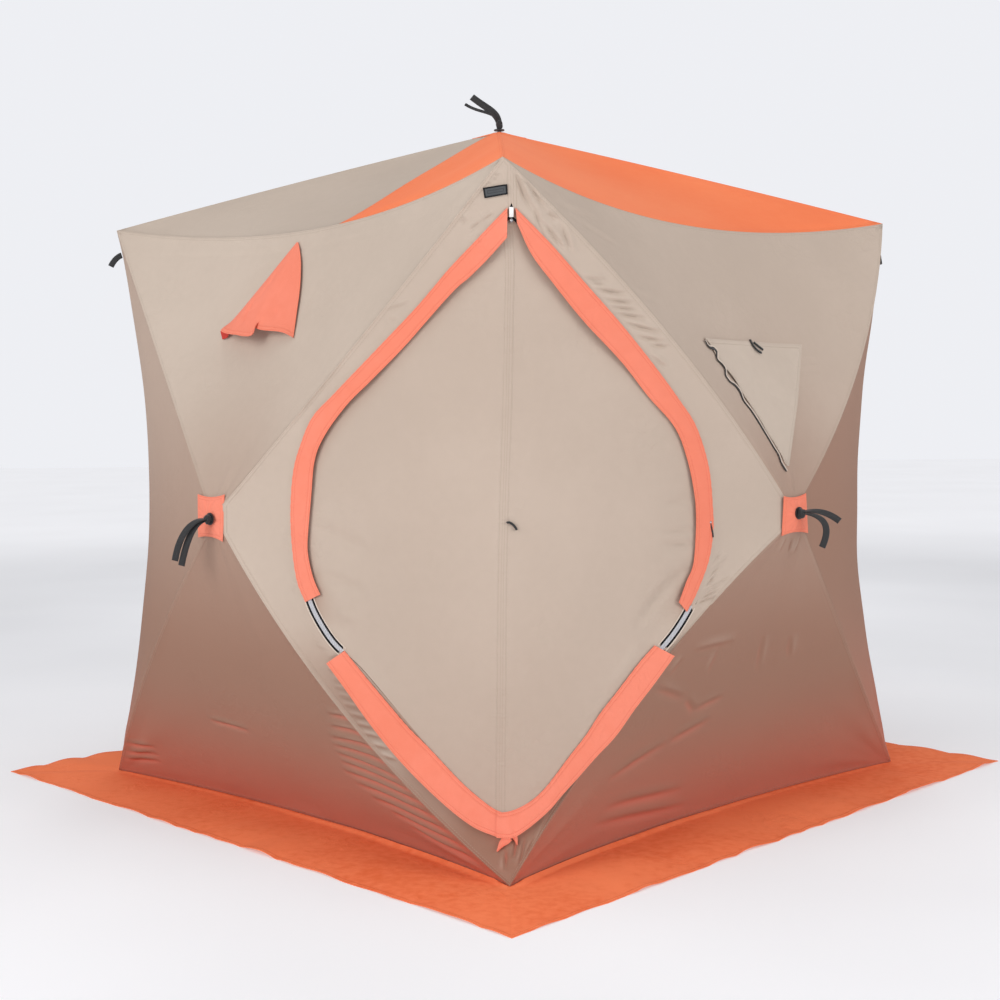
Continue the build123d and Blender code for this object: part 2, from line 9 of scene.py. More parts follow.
import logging
import math
from dataclasses import dataclass
from enum import Enum
from typing import Callable, Iterable, Sequence

import bpy
import numpy as np
from mathutils import Matrix

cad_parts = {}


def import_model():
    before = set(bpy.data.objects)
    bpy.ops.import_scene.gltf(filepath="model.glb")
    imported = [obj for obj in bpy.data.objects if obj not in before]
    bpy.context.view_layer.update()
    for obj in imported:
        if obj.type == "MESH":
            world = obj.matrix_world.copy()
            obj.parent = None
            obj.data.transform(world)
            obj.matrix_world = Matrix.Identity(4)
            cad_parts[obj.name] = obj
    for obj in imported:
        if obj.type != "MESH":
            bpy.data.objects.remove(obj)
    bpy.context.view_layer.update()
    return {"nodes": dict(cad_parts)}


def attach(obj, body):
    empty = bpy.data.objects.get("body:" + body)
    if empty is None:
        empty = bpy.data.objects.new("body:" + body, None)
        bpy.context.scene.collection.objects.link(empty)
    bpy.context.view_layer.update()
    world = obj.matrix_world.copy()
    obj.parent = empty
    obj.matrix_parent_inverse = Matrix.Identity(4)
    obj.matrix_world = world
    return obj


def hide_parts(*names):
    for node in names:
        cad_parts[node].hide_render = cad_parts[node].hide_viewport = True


logging.basicConfig(level=logging.INFO, format="%(message)s")
LOG = logging.getLogger("shelter")

Array = np.ndarray
Object = bpy.types.Object
Material = bpy.types.Material
Tree = bpy.types.NodeTree
Socket = bpy.types.NodeSocket
Colour = tuple[float, float, float, float]
Line = tuple[float, float, float, float]
Place = tuple[float, float]


# Sizes
@dataclass(frozen=True)
class Plan:
    """Main sizes of the shelter, as in the CAD model."""

    base_radius: float = 1.2728
    top_radius: float = 1.2398
    eave_height: float = 1.764
    roof_height: float = 2.068
    hub_height: float = 0.876
    hub_reach: float = 1.128
    skirt_reach: float = 1.628
    eave_in: float = 0.083
    eave_down: float = 0.081
    hem_in: float = 0.072
    corner_in: float = 0.105
    corner_round: float = 0.6
    ridge_up: float = 0.005
    hub_hole: float = 0.055
    hem_z: float = 0.0033
    door_top: float = 1.658
    door_bottom: float = 0.102
    door_side_z: float = 0.892
    door_half: float = 0.744
    door_round: float = 0.490
    door_top_shift: float = 0.020
    door_low_shift: float = -0.008
    door_side_shift: float = -0.008
    zip_width: float = 0.024
    window_top: float = 1.347
    window_apex: float = 0.998
    window_half: float = 0.243
    hood_apex: float = 1.652
    hood_bottom: float = 1.379
    hood_half: float = 0.175
    split_share: float = 0.41


@dataclass(frozen=True)
class Grids:
    """Rows and columns of the meshes; pairs are for walls out of the camera's view and in it."""

    upper: Sequence = ((50, 50), (100, 100))
    lower: Sequence = ((50, 50), (200, 120))
    skirt: Sequence = ((160, 18), (300, 21))
    corner: Sequence = (45, 61)
    surround: Sequence = (180, 36)
    door: int = 110
    tape: int = 300
    ribbon: Sequence = (110, 5)
    flap: Sequence = (240, 13)
    tail: Sequence = (20, 7)
    dark_patch: Sequence = (20, 40)
    roof: Sequence = (70, 70)
    roof_part: Sequence = (70, 50)
    window: int = 70
    window_zip: Sequence = (150, 5)
    hood: Sequence = (56, 120)
    gusset: Sequence = (12, 10)
    infill: int = 30
    hub_patch: Sequence = (49, 49)
    knot: Sequence = (14, 20)
    dome: Sequence = (8, 24)
    strap: int = 48
    short_strap: int = 24


@dataclass(frozen=True)
class Layers:
    """How far each layer stands off the cloth or hub under it."""

    tape: float = 0.0006
    chain: float = 0.0019
    teeth: float = 0.0024
    hem: float = 0.0026
    door_rim: float = 0.0018
    surround_rim: float = 0.0016
    flap: float = 0.0052
    flap_over: float = 0.0030
    tail: float = 0.0125
    dark_patch: float = 0.0024
    tie: float = 0.004
    slider: float = 0.0045
    cover: float = 0.0022
    window_zip: float = 0.0042
    window_lip: float = 0.0056
    hood: float = 0.001
    infill: float = -0.0022
    wall_patch: float = 0.0068
    roof_patch: float = 0.0016
    knot: float = 0.014
    roof_knot: float = 0.018
    loop: float = 0.002
    skirt: float = 0.0018


PLAN = Plan()
GRIDS = Grids()
LAYERS = Layers()
UP = np.array([0.0, 0.0, 1.0])
ROOT_HALF = math.sqrt(0.5)


class Wall(Enum):
    """The four walls, each with its outward direction."""

    FRONT_LEFT = (-1, -1)
    FRONT_RIGHT = (1, -1)
    BACK_LEFT = (-1, 1)
    BACK_RIGHT = (1, 1)

    @property
    def label(self) -> str:
        """Name used by the CAD nodes."""
        return self.name.lower()

    @property
    def normal(self) -> Array:
        """Outward direction."""
        return np.array([self.value[0], self.value[1], 0.0]) * ROOT_HALF

    @property
    def along(self) -> Array:
        """Horizontal direction in the wall, 90 degrees left of the normal."""
        n = self.normal
        return np.array([-n[1], n[0], 0.0])

    @property
    def door_corner(self) -> "Corner":
        """Corner at the door's side, or the one opposite it."""
        return Corner.FRONT if self.value[1] < 0 else Corner.BACK

    @property
    def far_corner(self) -> "Corner":
        """Corner at the left or right."""
        return Corner.LEFT if self.value[0] < 0 else Corner.RIGHT

    @property
    def has_window(self) -> bool:
        """True for the two walls with a window, false for those with a vent."""
        return self.value[0] * self.value[1] < 0

    @property
    def opening(self) -> tuple[float, float, float]:
        """Half width, base height and apex height of the window or vent."""
        if self.has_window:
            return PLAN.window_half, PLAN.window_top, PLAN.window_apex
        return PLAN.hood_half, PLAN.hood_bottom, PLAN.hood_apex

    @property
    def hem_width(self) -> float:
        """Width of cloth left between the opening's outline and the hole."""
        return 0.032 if self.has_window else 0.042

    @property
    def in_view(self) -> bool:
        """True for the two walls that the camera sees."""
        return self.value[1] < 0


class Corner(Enum):
    """The four corners, each with its outward direction."""

    FRONT = (0, -1)
    BACK = (0, 1)
    LEFT = (-1, 0)
    RIGHT = (1, 0)

    @property
    def axis(self) -> Array:
        """Outward direction."""
        return np.array([self.value[0], self.value[1], 0.0])

    @property
    def top(self) -> Array:
        """Corner point at the eave."""
        return self.axis * PLAN.top_radius + UP * PLAN.eave_height

    @property
    def low(self) -> Array:
        """Corner point at the hem."""
        return self.axis * PLAN.base_radius + UP * PLAN.hem_z


# How far each pole bows (outward, upward in the wall), as in the CAD model
BOWS_VENT = {"top_door": (0.005, -0.012), "top_far": (0, 0),
             "low_door": (0.035, -0.040), "low_far": (0.035, 0)}
BOWS_WINDOW = {"top_door": (0.045, 0.012), "top_far": (0.040, -0.035),
               "low_door": (0.005, 0.060), "low_far": (0, 0)}


# Curved patches
def clamp(x: Array) -> Array:
    """Values held between 0 and 1."""
    return np.clip(x, 0, 1)


def bell(x: Array, width: float, power: int = 2) -> Array:
    """Bell curve: 1 at 0, falling to 1/e at the width."""
    return np.exp(-((x / width) ** power))


def bernstein(degree: int, t: Array) -> Array:
    """Bernstein weights of a degree at t, last axis one per control point."""
    t = np.asarray(t, float)
    return np.stack([math.comb(degree, i) * t**i * (1 - t) ** (degree - i) for i in range(degree + 1)], -1)


def curve_at(points: Array, t: Array) -> Array:
    """Points of the Bezier curve with these control points."""
    return bernstein(len(points) - 1, t) @ np.asarray(points)


def unit(v: Array) -> Array:
    """Vectors scaled to length one."""
    return v / np.maximum(np.linalg.norm(v, axis=-1, keepdims=True), 1e-12)


class Patch:
    """Bezier surface, u from the hub to the far edge and v across it."""

    def __init__(self, net: Array, outward: Array) -> None:
        """Args: net: control points, rows by columns by 3. outward: rough outward direction."""
        self.net = np.asarray(net, float)
        self.outward = outward

    def at(self, u: Array, v: Array) -> Array:
        """Points at u and v."""
        a = bernstein(self.net.shape[0] - 1, u)
        b = bernstein(self.net.shape[1] - 1, v)
        return np.einsum("...i,...j,ijk->...k", a, b, self.net)

    def normals(self, u: Array, v: Array) -> Array:
        """Outward unit normals at u and v."""
        e = 1e-4
        du = self.at(u + e, v) - self.at(u - e, v)
        dv = self.at(u, v + e) - self.at(u, v - e)
        n = unit(np.cross(du, dv))
        return n * np.sign((n @ self.outward))[..., None]

    def find(self, first: Array, second: Array, a: Array, b: Array) -> tuple[Array, Array]:
        """u and v of the points whose parts along two directions are a and b (Newton steps)."""
        grid = np.linspace(0.02, 0.98, 25)
        gu, gv = np.meshgrid(grid, grid, indexing="ij")
        seen = self.at(gu, gv).reshape(-1, 3)
        ga, gb = seen @ first, seen @ second
        near = ((np.ravel(a)[:, None] - ga) ** 2 + (np.ravel(b)[:, None] - gb) ** 2).argmin(1)
        u, v = gu.ravel()[near], gv.ravel()[near]
        ta, tb = np.ravel(a), np.ravel(b)
        e = 1e-5
        for _ in range(12):
            p = self.at(u, v)
            fa, fb = p @ first - ta, p @ second - tb
            pu = (self.at(u + e, v) - p) / e
            pv = (self.at(u, v + e) - p) / e
            j11, j12, j21, j22 = pu @ first, pv @ first, pu @ second, pv @ second
            det = j11 * j22 - j12 * j21
            det = np.where(np.abs(det) < 1e-6, 1e-6, det)
            u = np.clip(u - np.clip((fa * j22 - fb * j12) / det, -0.2, 0.2), -0.15, 1.15)
            v = np.clip(v - np.clip((fb * j11 - fa * j21) / det, -0.2, 0.2), -0.15, 1.15)
        return u.reshape(np.shape(a)), v.reshape(np.shape(a))


class Seams:
    """Control points of the seams and panels, worked out as the CAD model does it."""

    @staticmethod
    def hub(wall: Wall) -> Array:
        """Point where a wall's pole seams cross."""
        return wall.normal * PLAN.hub_reach + UP * PLAN.hub_height

    @staticmethod
    def pole(wall: Wall, key: str) -> Array:
        """Seam from the hub to a corner of the wall."""
        corner = wall.door_corner if key.endswith("door") else wall.far_corner
        end = corner.top if key.startswith("top") else corner.low
        hub = Seams.hub(wall)
        line = unit(end - hub)
        rise = unit(np.cross(wall.normal, line))
        rise = rise * (1 if rise[2] > 0 else -1)
        out_bow, up_bow = (BOWS_WINDOW if wall.has_window else BOWS_VENT)[key]
        start = hub + line * PLAN.hub_hole
        return np.array([start, (start + end) / 2 + wall.normal * 2 * out_bow + rise * 2 * up_bow, end])

    @staticmethod
    def eave(wall: Wall) -> Array:
        """Hanging seam between a wall and its roof panel."""
        a, b = wall.far_corner.top, wall.door_corner.top
        return np.array([a, (a + b) / 2 - wall.normal * 2 * PLAN.eave_in - UP * 2 * PLAN.eave_down, b])

    @staticmethod
    def hem(wall: Wall) -> Array:
        """Lower edge of a wall."""
        a, b = wall.far_corner.low, wall.door_corner.low
        return np.array([a, (a + b) / 2 - wall.normal * 2 * PLAN.hem_in, b])

    @staticmethod
    def fold(corner: Corner) -> Array:
        """Upright fold of a corner panel."""
        a, b = corner.top, corner.low
        return np.array([a, (a + b) / 2 - corner.axis * 2 * PLAN.corner_in, b])

    @staticmethod
    def ridge(corner: Corner) -> Array:
        """Seam from the roof hub to a top corner."""
        hub = UP * PLAN.roof_height
        start = hub + unit(corner.top - hub) * PLAN.hub_hole
        return np.array([start, (start + corner.top) / 2 + UP * 2 * PLAN.ridge_up, corner.top])

    @staticmethod
    def raised(seam: Array) -> Array:
        """The same curve with four control points."""
        a, m, b = seam
        return np.array([a, a / 3 + m * 2 / 3, m * 2 / 3 + b / 3, b])

    @staticmethod
    def net(seam_a: Array, seam_b: Array, far: Array) -> Array:
        """Control rows blended from the edges (Coons rule)."""
        n = len(seam_a) - 1
        rows = [[seam_a[0], (seam_a[0] + seam_b[0]) / 2, seam_b[0]]]
        for i in range(1, n):
            s = i / n
            ends = rows[0][1] * (1 - s) + far[1] * s
            corners = (seam_a[0] + seam_b[0]) * (1 - s) / 2 + (seam_a[n] + seam_b[n]) * s / 2
            rows.append([seam_a[i], (seam_a[i] + seam_b[i]) / 2 + ends - corners, seam_b[i]])
        rows.append([seam_a[n], far[1], seam_b[n]])
        return np.array(rows)

    @staticmethod
    def upper(wall: Wall) -> Patch:
        """Upper wall panel."""
        seams = Seams.pole(wall, "top_far"), Seams.pole(wall, "top_door"), Seams.eave(wall)
        return Patch(Seams.net(*seams), wall.normal)

    @staticmethod
    def lower(wall: Wall) -> Patch:
        """Lower wall panel."""
        seams = Seams.pole(wall, "low_far"), Seams.pole(wall, "low_door"), Seams.hem(wall)
        return Patch(Seams.net(*seams), wall.normal)

    @staticmethod
    def roof(wall: Wall) -> Patch:
        """Roof panel above a wall."""
        ridges = Seams.ridge(wall.far_corner), Seams.ridge(wall.door_corner)
        return Patch(Seams.net(*ridges, Seams.eave(wall)), UP)

    @staticmethod
    def corner(wall: Wall, corner: Corner) -> Patch:
        """Half of a corner panel, rounded towards the upright fold."""
        place = "door" if corner == wall.door_corner else "far"
        a = Seams.raised(Seams.pole(wall, "top_" + place))
        b = Seams.raised(Seams.pole(wall, "low_" + place))
        net = Seams.net(a, b, Seams.fold(corner))
        weights = np.array([1, 2, 1]) / 4
        edge = weights @ net[3] @ corner.axis
        flat = weights @ net[2] @ corner.axis
        net[2, 1] += corner.axis * 2 * (edge - flat) * PLAN.corner_round
        return Patch(net, unit(wall.normal + corner.axis))


# Folds
@dataclass(frozen=True)
class Fold:
    """One crease: a smooth ridge (or hollow, if height < 0) from a start along an angle.

    height * exp(-(n / width)^2) * sin(pi * s)^0.8, with s from 0 to 1 along the fold and
    n the distance across it.
    """

    start: Place
    angle: float
    length: float
    width: float
    height: float
    bend: float = 0.0

    def lift(self, a: Array, b: Array) -> Array:
        """Height at places a, b of the panel."""
        turn = math.radians(self.angle)
        x, y = a - self.start[0], b - self.start[1]
        s = (x * math.cos(turn) + y * math.sin(turn)) / self.length
        n = -x * math.sin(turn) + y * math.cos(turn) - self.bend * np.sin(math.pi * clamp(s))
        return self.height * bell(n, self.width) * np.sin(math.pi * clamp(s)) ** 0.8


def crease(line: Line, width: float, height: float, bend: float = 0.0) -> Fold:
    """Fold between two places.

    Args:
        line: both places, as a, b of the first and a, b of the second.
        width, height, bend: sizes of the fold.
    Returns: the fold.
    """
    a0, b0, a1, b1 = line
    angle, length = math.degrees(math.atan2(b1 - b0, a1 - a0)), math.hypot(a1 - a0, b1 - b0)
    return Fold((a0, b0), angle, length, width, height, bend)


def grooves(lines: Sequence[Line], width: float, depth: float, ridge: float) -> list[Fold]:
    """Narrow hollows along measured lines, each with a soft ridge on its upper side.

    Args:
        lines: the places of both ends of each.
        width, depth: of the hollow. ridge: width of the ridge.
    Returns: the folds.
    """
    folds = []
    for a0, b0, a1, b1 in lines:
        long = math.hypot(a1 - a0, b1 - b0)
        da, db = -(b1 - b0) / long * ridge, (a1 - a0) / long * ridge
        if db < 0:
            da, db = -da, -db
        folds.append(crease((a0, b0, a1, b1), width, -depth))
        folds.append(crease((a0 + da, b0 + db, a1 + da, b1 + db), ridge * 0.8, depth * 0.62))
    return folds


def uneven(count: int, dense: Sequence[tuple[float, float, float]]) -> Array:
    """Values from 0 to 1 that lie closer together at the given places (place, width, gain)."""
    t = np.linspace(0, 1, 2000)
    weight = np.ones_like(t)
    for place, width, gain in dense:
        weight += gain * bell(t - place, width)
    run = np.concatenate([[0], np.cumsum((weight[1:] + weight[:-1]) / 2)])
    return np.interp(np.linspace(0, run[-1], count), run, t)


class Swell:
    """Soft uneven swelling of taut cloth: a sum of a few slow waves of random direction."""

    def __init__(self, seed: int, height: float, scale: float, count: int = 9) -> None:
        """Args: seed, height in metres, scale: shortest wavelength, count: number of waves."""
        rng = np.random.default_rng(seed)
        turn = rng.uniform(0, math.pi, count)
        length = scale * rng.uniform(1, 3.2, count)
        self.kx, self.ky = np.cos(turn) * 2 * math.pi / length, np.sin(turn) * 2 * math.pi / length
        self.phase = rng.uniform(0, 2 * math.pi, count)
        self.height = height * length / length.mean() / math.sqrt(count)

    def lift(self, a: Array, b: Array) -> Array:
        """Height at places a, b of the panel."""
        waves = np.sin(a[..., None] * self.kx + b[..., None] * self.ky + self.phase)
        return waves @ self.height


class Rays:
    """Tension folds that fan out from a point: cos of the angle around it, fading with distance."""

    def __init__(self, centre: Place, count: float, height: float, reach: float, seed: int) -> None:
        """Args: centre of the fan, count of folds in a half turn, height, reach and seed."""
        self.centre, self.count, self.height, self.reach = centre, count, height, reach
        self.phase = np.random.default_rng(seed).uniform(0, 6, 2)

    def lift(self, a: Array, b: Array) -> Array:
        """Height at places a, b of the panel."""
        x, y = a - self.centre[0], b - self.centre[1]
        r, turn = np.hypot(x, y), np.arctan2(y, x)
        wave = (np.cos(2 * self.count * turn + self.phase[0])
                + 0.5 * np.cos(3.3 * self.count * turn + self.phase[1]))
        return self.height * wave * bell(r, self.reach) * clamp(r / 0.08)


def total_lift(parts: Iterable, a: Array, b: Array) -> Array:
    """Sum of the heights of all parts."""
    out = np.zeros_like(a)
    for part in parts:
        out = out + part.lift(a, b)
    return out


# Meshes
SHEET_THICK = 0.0016
FINE_THICK = 0.0014
NO_STITCH = 0.02


def square(rows: int, cols: int, low: float = 0.0) -> tuple[Array, Array]:
    """Two coordinates that run from low to 1 over a grid of rows by cols places."""
    return np.meshgrid(np.linspace(low, 1, rows), np.linspace(low, 1, cols), indexing="ij")


def bilinear(corners: Sequence[Sequence[float]], f: Array, g: Array) -> Array:
    """Points between four corners in ring order; g runs to the second corner, f to the last."""
    a, b, c, d = (np.asarray(p) for p in corners)
    f, g = f[..., None], g[..., None]
    return (a * (1 - g) + b * g) * (1 - f) + (d * (1 - g) + c * g) * f


def grid_quads(rows: int, cols: int, closed: bool = False, ring: bool = False) -> Array:
    """Quads of a grid of points; closed joins the last row to the first, ring the last column."""
    i = np.arange(rows if closed else rows - 1)[:, None]
    j = np.arange(cols if ring else cols - 1)[None, :]
    here, below, beside = i * cols, (i + 1) % rows * cols, (j + 1) % cols
    return np.stack([here + j, below + j, below + beside, here + beside], -1).reshape(-1, 4)


def make_object(name: str, points: Array, faces: Sequence, material: Material,
                fields: dict[str, Array] | None = None, smooth: bool = True) -> Object:
    """Object from points and faces, with point fields and a UV map from field uv."""
    mesh = bpy.data.meshes.new(name)
    faces = np.asarray(faces)
    count, sides = faces.shape
    mesh.vertices.add(len(points))
    mesh.vertices.foreach_set("co", np.ascontiguousarray(points, np.float32).ravel())
    mesh.loops.add(count * sides)
    mesh.loops.foreach_set("vertex_index", np.ascontiguousarray(faces, np.int32).ravel())
    mesh.polygons.add(count)
    mesh.polygons.foreach_set("loop_start", np.arange(0, count * sides, sides, dtype=np.int32))
    mesh.update(calc_edges=True)
    mesh.validate()
    for key, values in (fields or {}).items():
        values = np.asarray(values, np.float32)
        if key == "uv":
            mesh.uv_layers.new(name="cloth").data.foreach_set("uv", values[faces.ravel()].ravel())
        else:
            mesh.attributes.new(key, "FLOAT", "POINT").data.foreach_set("value", values.ravel())
    if smooth:
        mesh.shade_smooth()
        mesh.set_sharp_from_angle(angle=math.radians(50))
    mesh.materials.append(material)
    obj = bpy.data.objects.new(name, mesh)
    bpy.context.collection.objects.link(obj)
    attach(obj, "root")
    LOG.info("%s: %d points, %d faces", name, len(points), count)
    return obj


def shell(points: Array, quads: Array, inward: Array, thick: float) -> tuple[Array, Array]:
    """Closed thin shell: the surface, a copy moved inward, and a rim along its open edges.

    Args:
        points: surface points. quads: its faces, wound so that their normals point outward.
        inward: unit vectors, one per point. thick: thickness.
    Returns: all points and all faces.
    """
    n = len(points)
    edges = np.concatenate([quads[:, [k, (k + 1) % 4]] for k in range(4)])
    key = np.sort(edges, 1).astype(np.int64)
    _, index, counts = np.unique(key[:, 0] * n + key[:, 1], return_index=True, return_counts=True)
    rim = edges[index[counts == 1]]
    rim = rim[rim[:, 0] != rim[:, 1]]
    sides = np.stack([rim[:, 1], rim[:, 0], rim[:, 0] + n, rim[:, 1] + n], 1)
    return (np.concatenate([points, points + inward * thick]),
            np.concatenate([quads, quads[:, ::-1] + n, sides]))


def wound(points: Array, quads: Array, normals: Array) -> Array:
    """Quads turned so that most of them face along the normals."""
    a, b, c = (points[quads[:, i]] for i in (0, 1, 2))
    agree = np.einsum("ij,ij->i", np.cross(b - a, c - a), normals[quads[:, 0]]).sum()
    return quads if agree > 0 else quads[:, ::-1]


def area_of(points: Array, quads: Array) -> float:
    """Area of quads, each cut into two triangles."""
    a, b, c, d = (points[quads[:, i]] for i in range(4))
    tri = np.linalg.norm(np.cross(b - a, c - a), axis=1) + np.linalg.norm(np.cross(c - a, d - a), axis=1)
    return float(tri.sum() / 2)


def make_sheet(name: str, points: Array, normals: Array, material: Material, fields: dict, thick: float,
               keep: Array | None = None, closed: bool = False) -> tuple[Object, Array, float]:
    """Object of a grid surface closed into a thin shell.

    Args:
        points: rows by columns by 3. normals: the same, or one for all.
        fields: point fields that are spread over the grid; uv is a pair of them.
        keep: mask of the faces to keep. closed: True if the last row joins the first.
    Returns: the object, its outer points and its outer area.
    """
    shape = points.shape[:2]
    normals = np.broadcast_to(normals, points.shape).reshape(-1, 3)
    points = points.reshape(-1, 3)
    quads = grid_quads(*shape, closed)
    quads = wound(points, quads if keep is None else quads[keep], normals)
    used = np.unique(quads)
    remap = np.full(len(points), -1)
    remap[used] = np.arange(len(used))
    points, normals, quads = points[used], normals[used], remap[quads]
    full, faces = shell(points, quads, -normals, thick)
    doubled = {}
    for key, value in fields.items():
        parts = [np.broadcast_to(v, shape).ravel()[used] for v in (value if key == "uv" else [value])]
        doubled[key] = np.concatenate([np.stack(parts, 1) if key == "uv" else parts[0]] * 2)
    return make_object(name, full, faces, material, doubled), points, area_of(points, quads)


@dataclass
class Cloth:
    name: str
    material: Material
    nodes: Sequence[str]
    slot: str
    held: str = "stretched"
    thick: float = SHEET_THICK
    rests_on: Sequence[str] = ()

    def build(self, points: Array, normals: Array, fields: dict, keep: Array | None = None,
              closed: bool = False) -> Object:
        """Makes the piece; the arguments are those of make_sheet."""
        obj, outer, area = make_sheet(self.name, points, normals, self.material, fields, self.thick,
                                      keep, closed)
        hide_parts(*self.nodes)
        list(self.rests_on)
        return obj


def edge_fields(grid: Array) -> dict[str, Array]:
    """Distance from the grid's border and length along it, for stitches and laps."""
    across, down = (
        np.cumsum(np.linalg.norm(np.diff(grid, axis=k, prepend=np.take(grid, [0], k)), axis=2), k)
        for k in (1, 0))
    from_side, from_end = np.minimum(across, across[:, -1:] - across), down[-1:] - down
    return {"seam_d": np.minimum(from_side, from_end),
            "seam_s": np.where(from_end <= from_side, across, down)}


# Materials
def srgb(r: int, g: int, b: int) -> Colour:
    """Linear colour of an sRGB triple."""
    parts = [c / 255 for c in (r, g, b)]
    return (*(c / 12.92 if c <= 0.04045 else ((c + 0.055) / 1.055) ** 2.4 for c in parts), 1.0)


def scaled(colour: Colour, gain: float) -> Colour:
    """Colour made darker or lighter by a factor."""
    return (*(min(c * gain, 1) for c in colour[:3]), 1.0)


class Nodes:
    """Small helper that adds and links shader nodes."""

    def __init__(self, tree: Tree) -> None:
        """Args: tree: the node tree, which is emptied."""
        self.tree = tree
        tree.nodes.clear()

    def add(self, kind: str, **inputs) -> bpy.types.Node:
        """Adds a node. Keys starting with p_ set properties, others set or link inputs."""
        node = self.tree.nodes.new(kind)
        for key, value in inputs.items():
            if key.startswith("p_"):
                setattr(node, key[2:], value)
        for key, value in inputs.items():
            if not key.startswith("p_"):
                self.put(node.inputs[int(key[1:]) if key[1:].isdigit() else key.replace("_", " ")], value)
        return node

    def put(self, socket: Socket, value) -> None:
        """Links an output, or sets a value."""
        if isinstance(value, Socket):
            self.tree.links.new(value, socket)
        else:
            socket.default_value = value

    def math(self, operation: str, a, b=0.0) -> Socket:
        """Result of a math node."""
        return self.add("ShaderNodeMath", p_operation=operation, i0=a, i1=b).outputs[0]

    def plus(self, a, b) -> Socket:
        """Sum of two values."""
        return self.math("ADD", a, b)

    def times(self, a, b) -> Socket:
        """Product of two values."""
        return self.math("MULTIPLY", a, b)

    def gap(self, a, b) -> Socket:
        """Distance between two values."""
        return self.math("ABSOLUTE", self.math("SUBTRACT", a, b))

    def ramp(self, value, low: float, high: float, out_low: float = 0.0, out_high: float = 1.0) -> Socket:
        """Smooth step of a value between low and high."""
        return self.add("ShaderNodeMapRange", p_interpolation_type="SMOOTHSTEP", i0=value, i1=low, i2=high,
                        i3=out_low, i4=out_high).outputs[0]

    def noise(self, scale: float, detail: float, **more) -> Socket:
        """Noise over the object's own coordinates."""
        return self.add("ShaderNodeTexNoise", Vector=self.place(), Scale=scale, Detail=detail,
                        **more).outputs[0]

    def place(self) -> Socket:
        """The object's own coordinates."""
        return self.add("ShaderNodeTexCoord").outputs["Object"]

    def uv(self) -> Sequence[Socket]:
        """Both places on the cloth, in metres."""
        both = self.add("ShaderNodeUVMap", p_uv_map="cloth").outputs[0]
        return self.add("ShaderNodeSeparateXYZ", i0=both).outputs

    def field(self, name: str) -> Socket:
        """Value of a point field."""
        return self.add("ShaderNodeAttribute", p_attribute_name=name).outputs["Fac"]

    def mix(self, share, first, second) -> Socket:
        """Colour between two."""
        return self.add("ShaderNodeMix", p_data_type="RGBA", i0=share, i6=first, i7=second).outputs[2]

    def surface(self, colour, height, **inputs) -> None:
        """Closes a material: colour, a bump from heights in metres and the shader's other inputs."""
        bump = self.add("ShaderNodeBump", Height=height, Strength=1.0, Distance=1.0)
        shader = self.add("ShaderNodeBsdfPrincipled", Base_Color=colour, Normal=bump.outputs[0], **inputs)
        self.add("ShaderNodeOutputMaterial", Surface=shader.outputs[0])


def new_material(name: str) -> tuple[Material, Nodes]:
    """Empty material and the helper that fills it."""
    mat = bpy.data.materials.new(name)
    mat.use_nodes = True
    return mat, Nodes(mat.node_tree)


def new_group(name: str, inputs: dict[str, float],
              outputs: Sequence[str]) -> tuple[Nodes, Sequence, Sequence]:
    """Empty shader node group; all its sockets are single values.

    Returns: the helper, the sockets that bring the inputs and those that take the outputs.
    """
    group = bpy.data.node_groups.new(name, "ShaderNodeTree")
    for label, value in inputs.items():
        group.interface.new_socket(label, in_out="INPUT", socket_type="NodeSocketFloat").default_value = value
    for label in outputs:
        group.interface.new_socket(label, in_out="OUTPUT", socket_type="NodeSocketFloat")
    nodes = Nodes(group)
    return nodes, nodes.add("NodeGroupInput").outputs, nodes.add("NodeGroupOutput").inputs


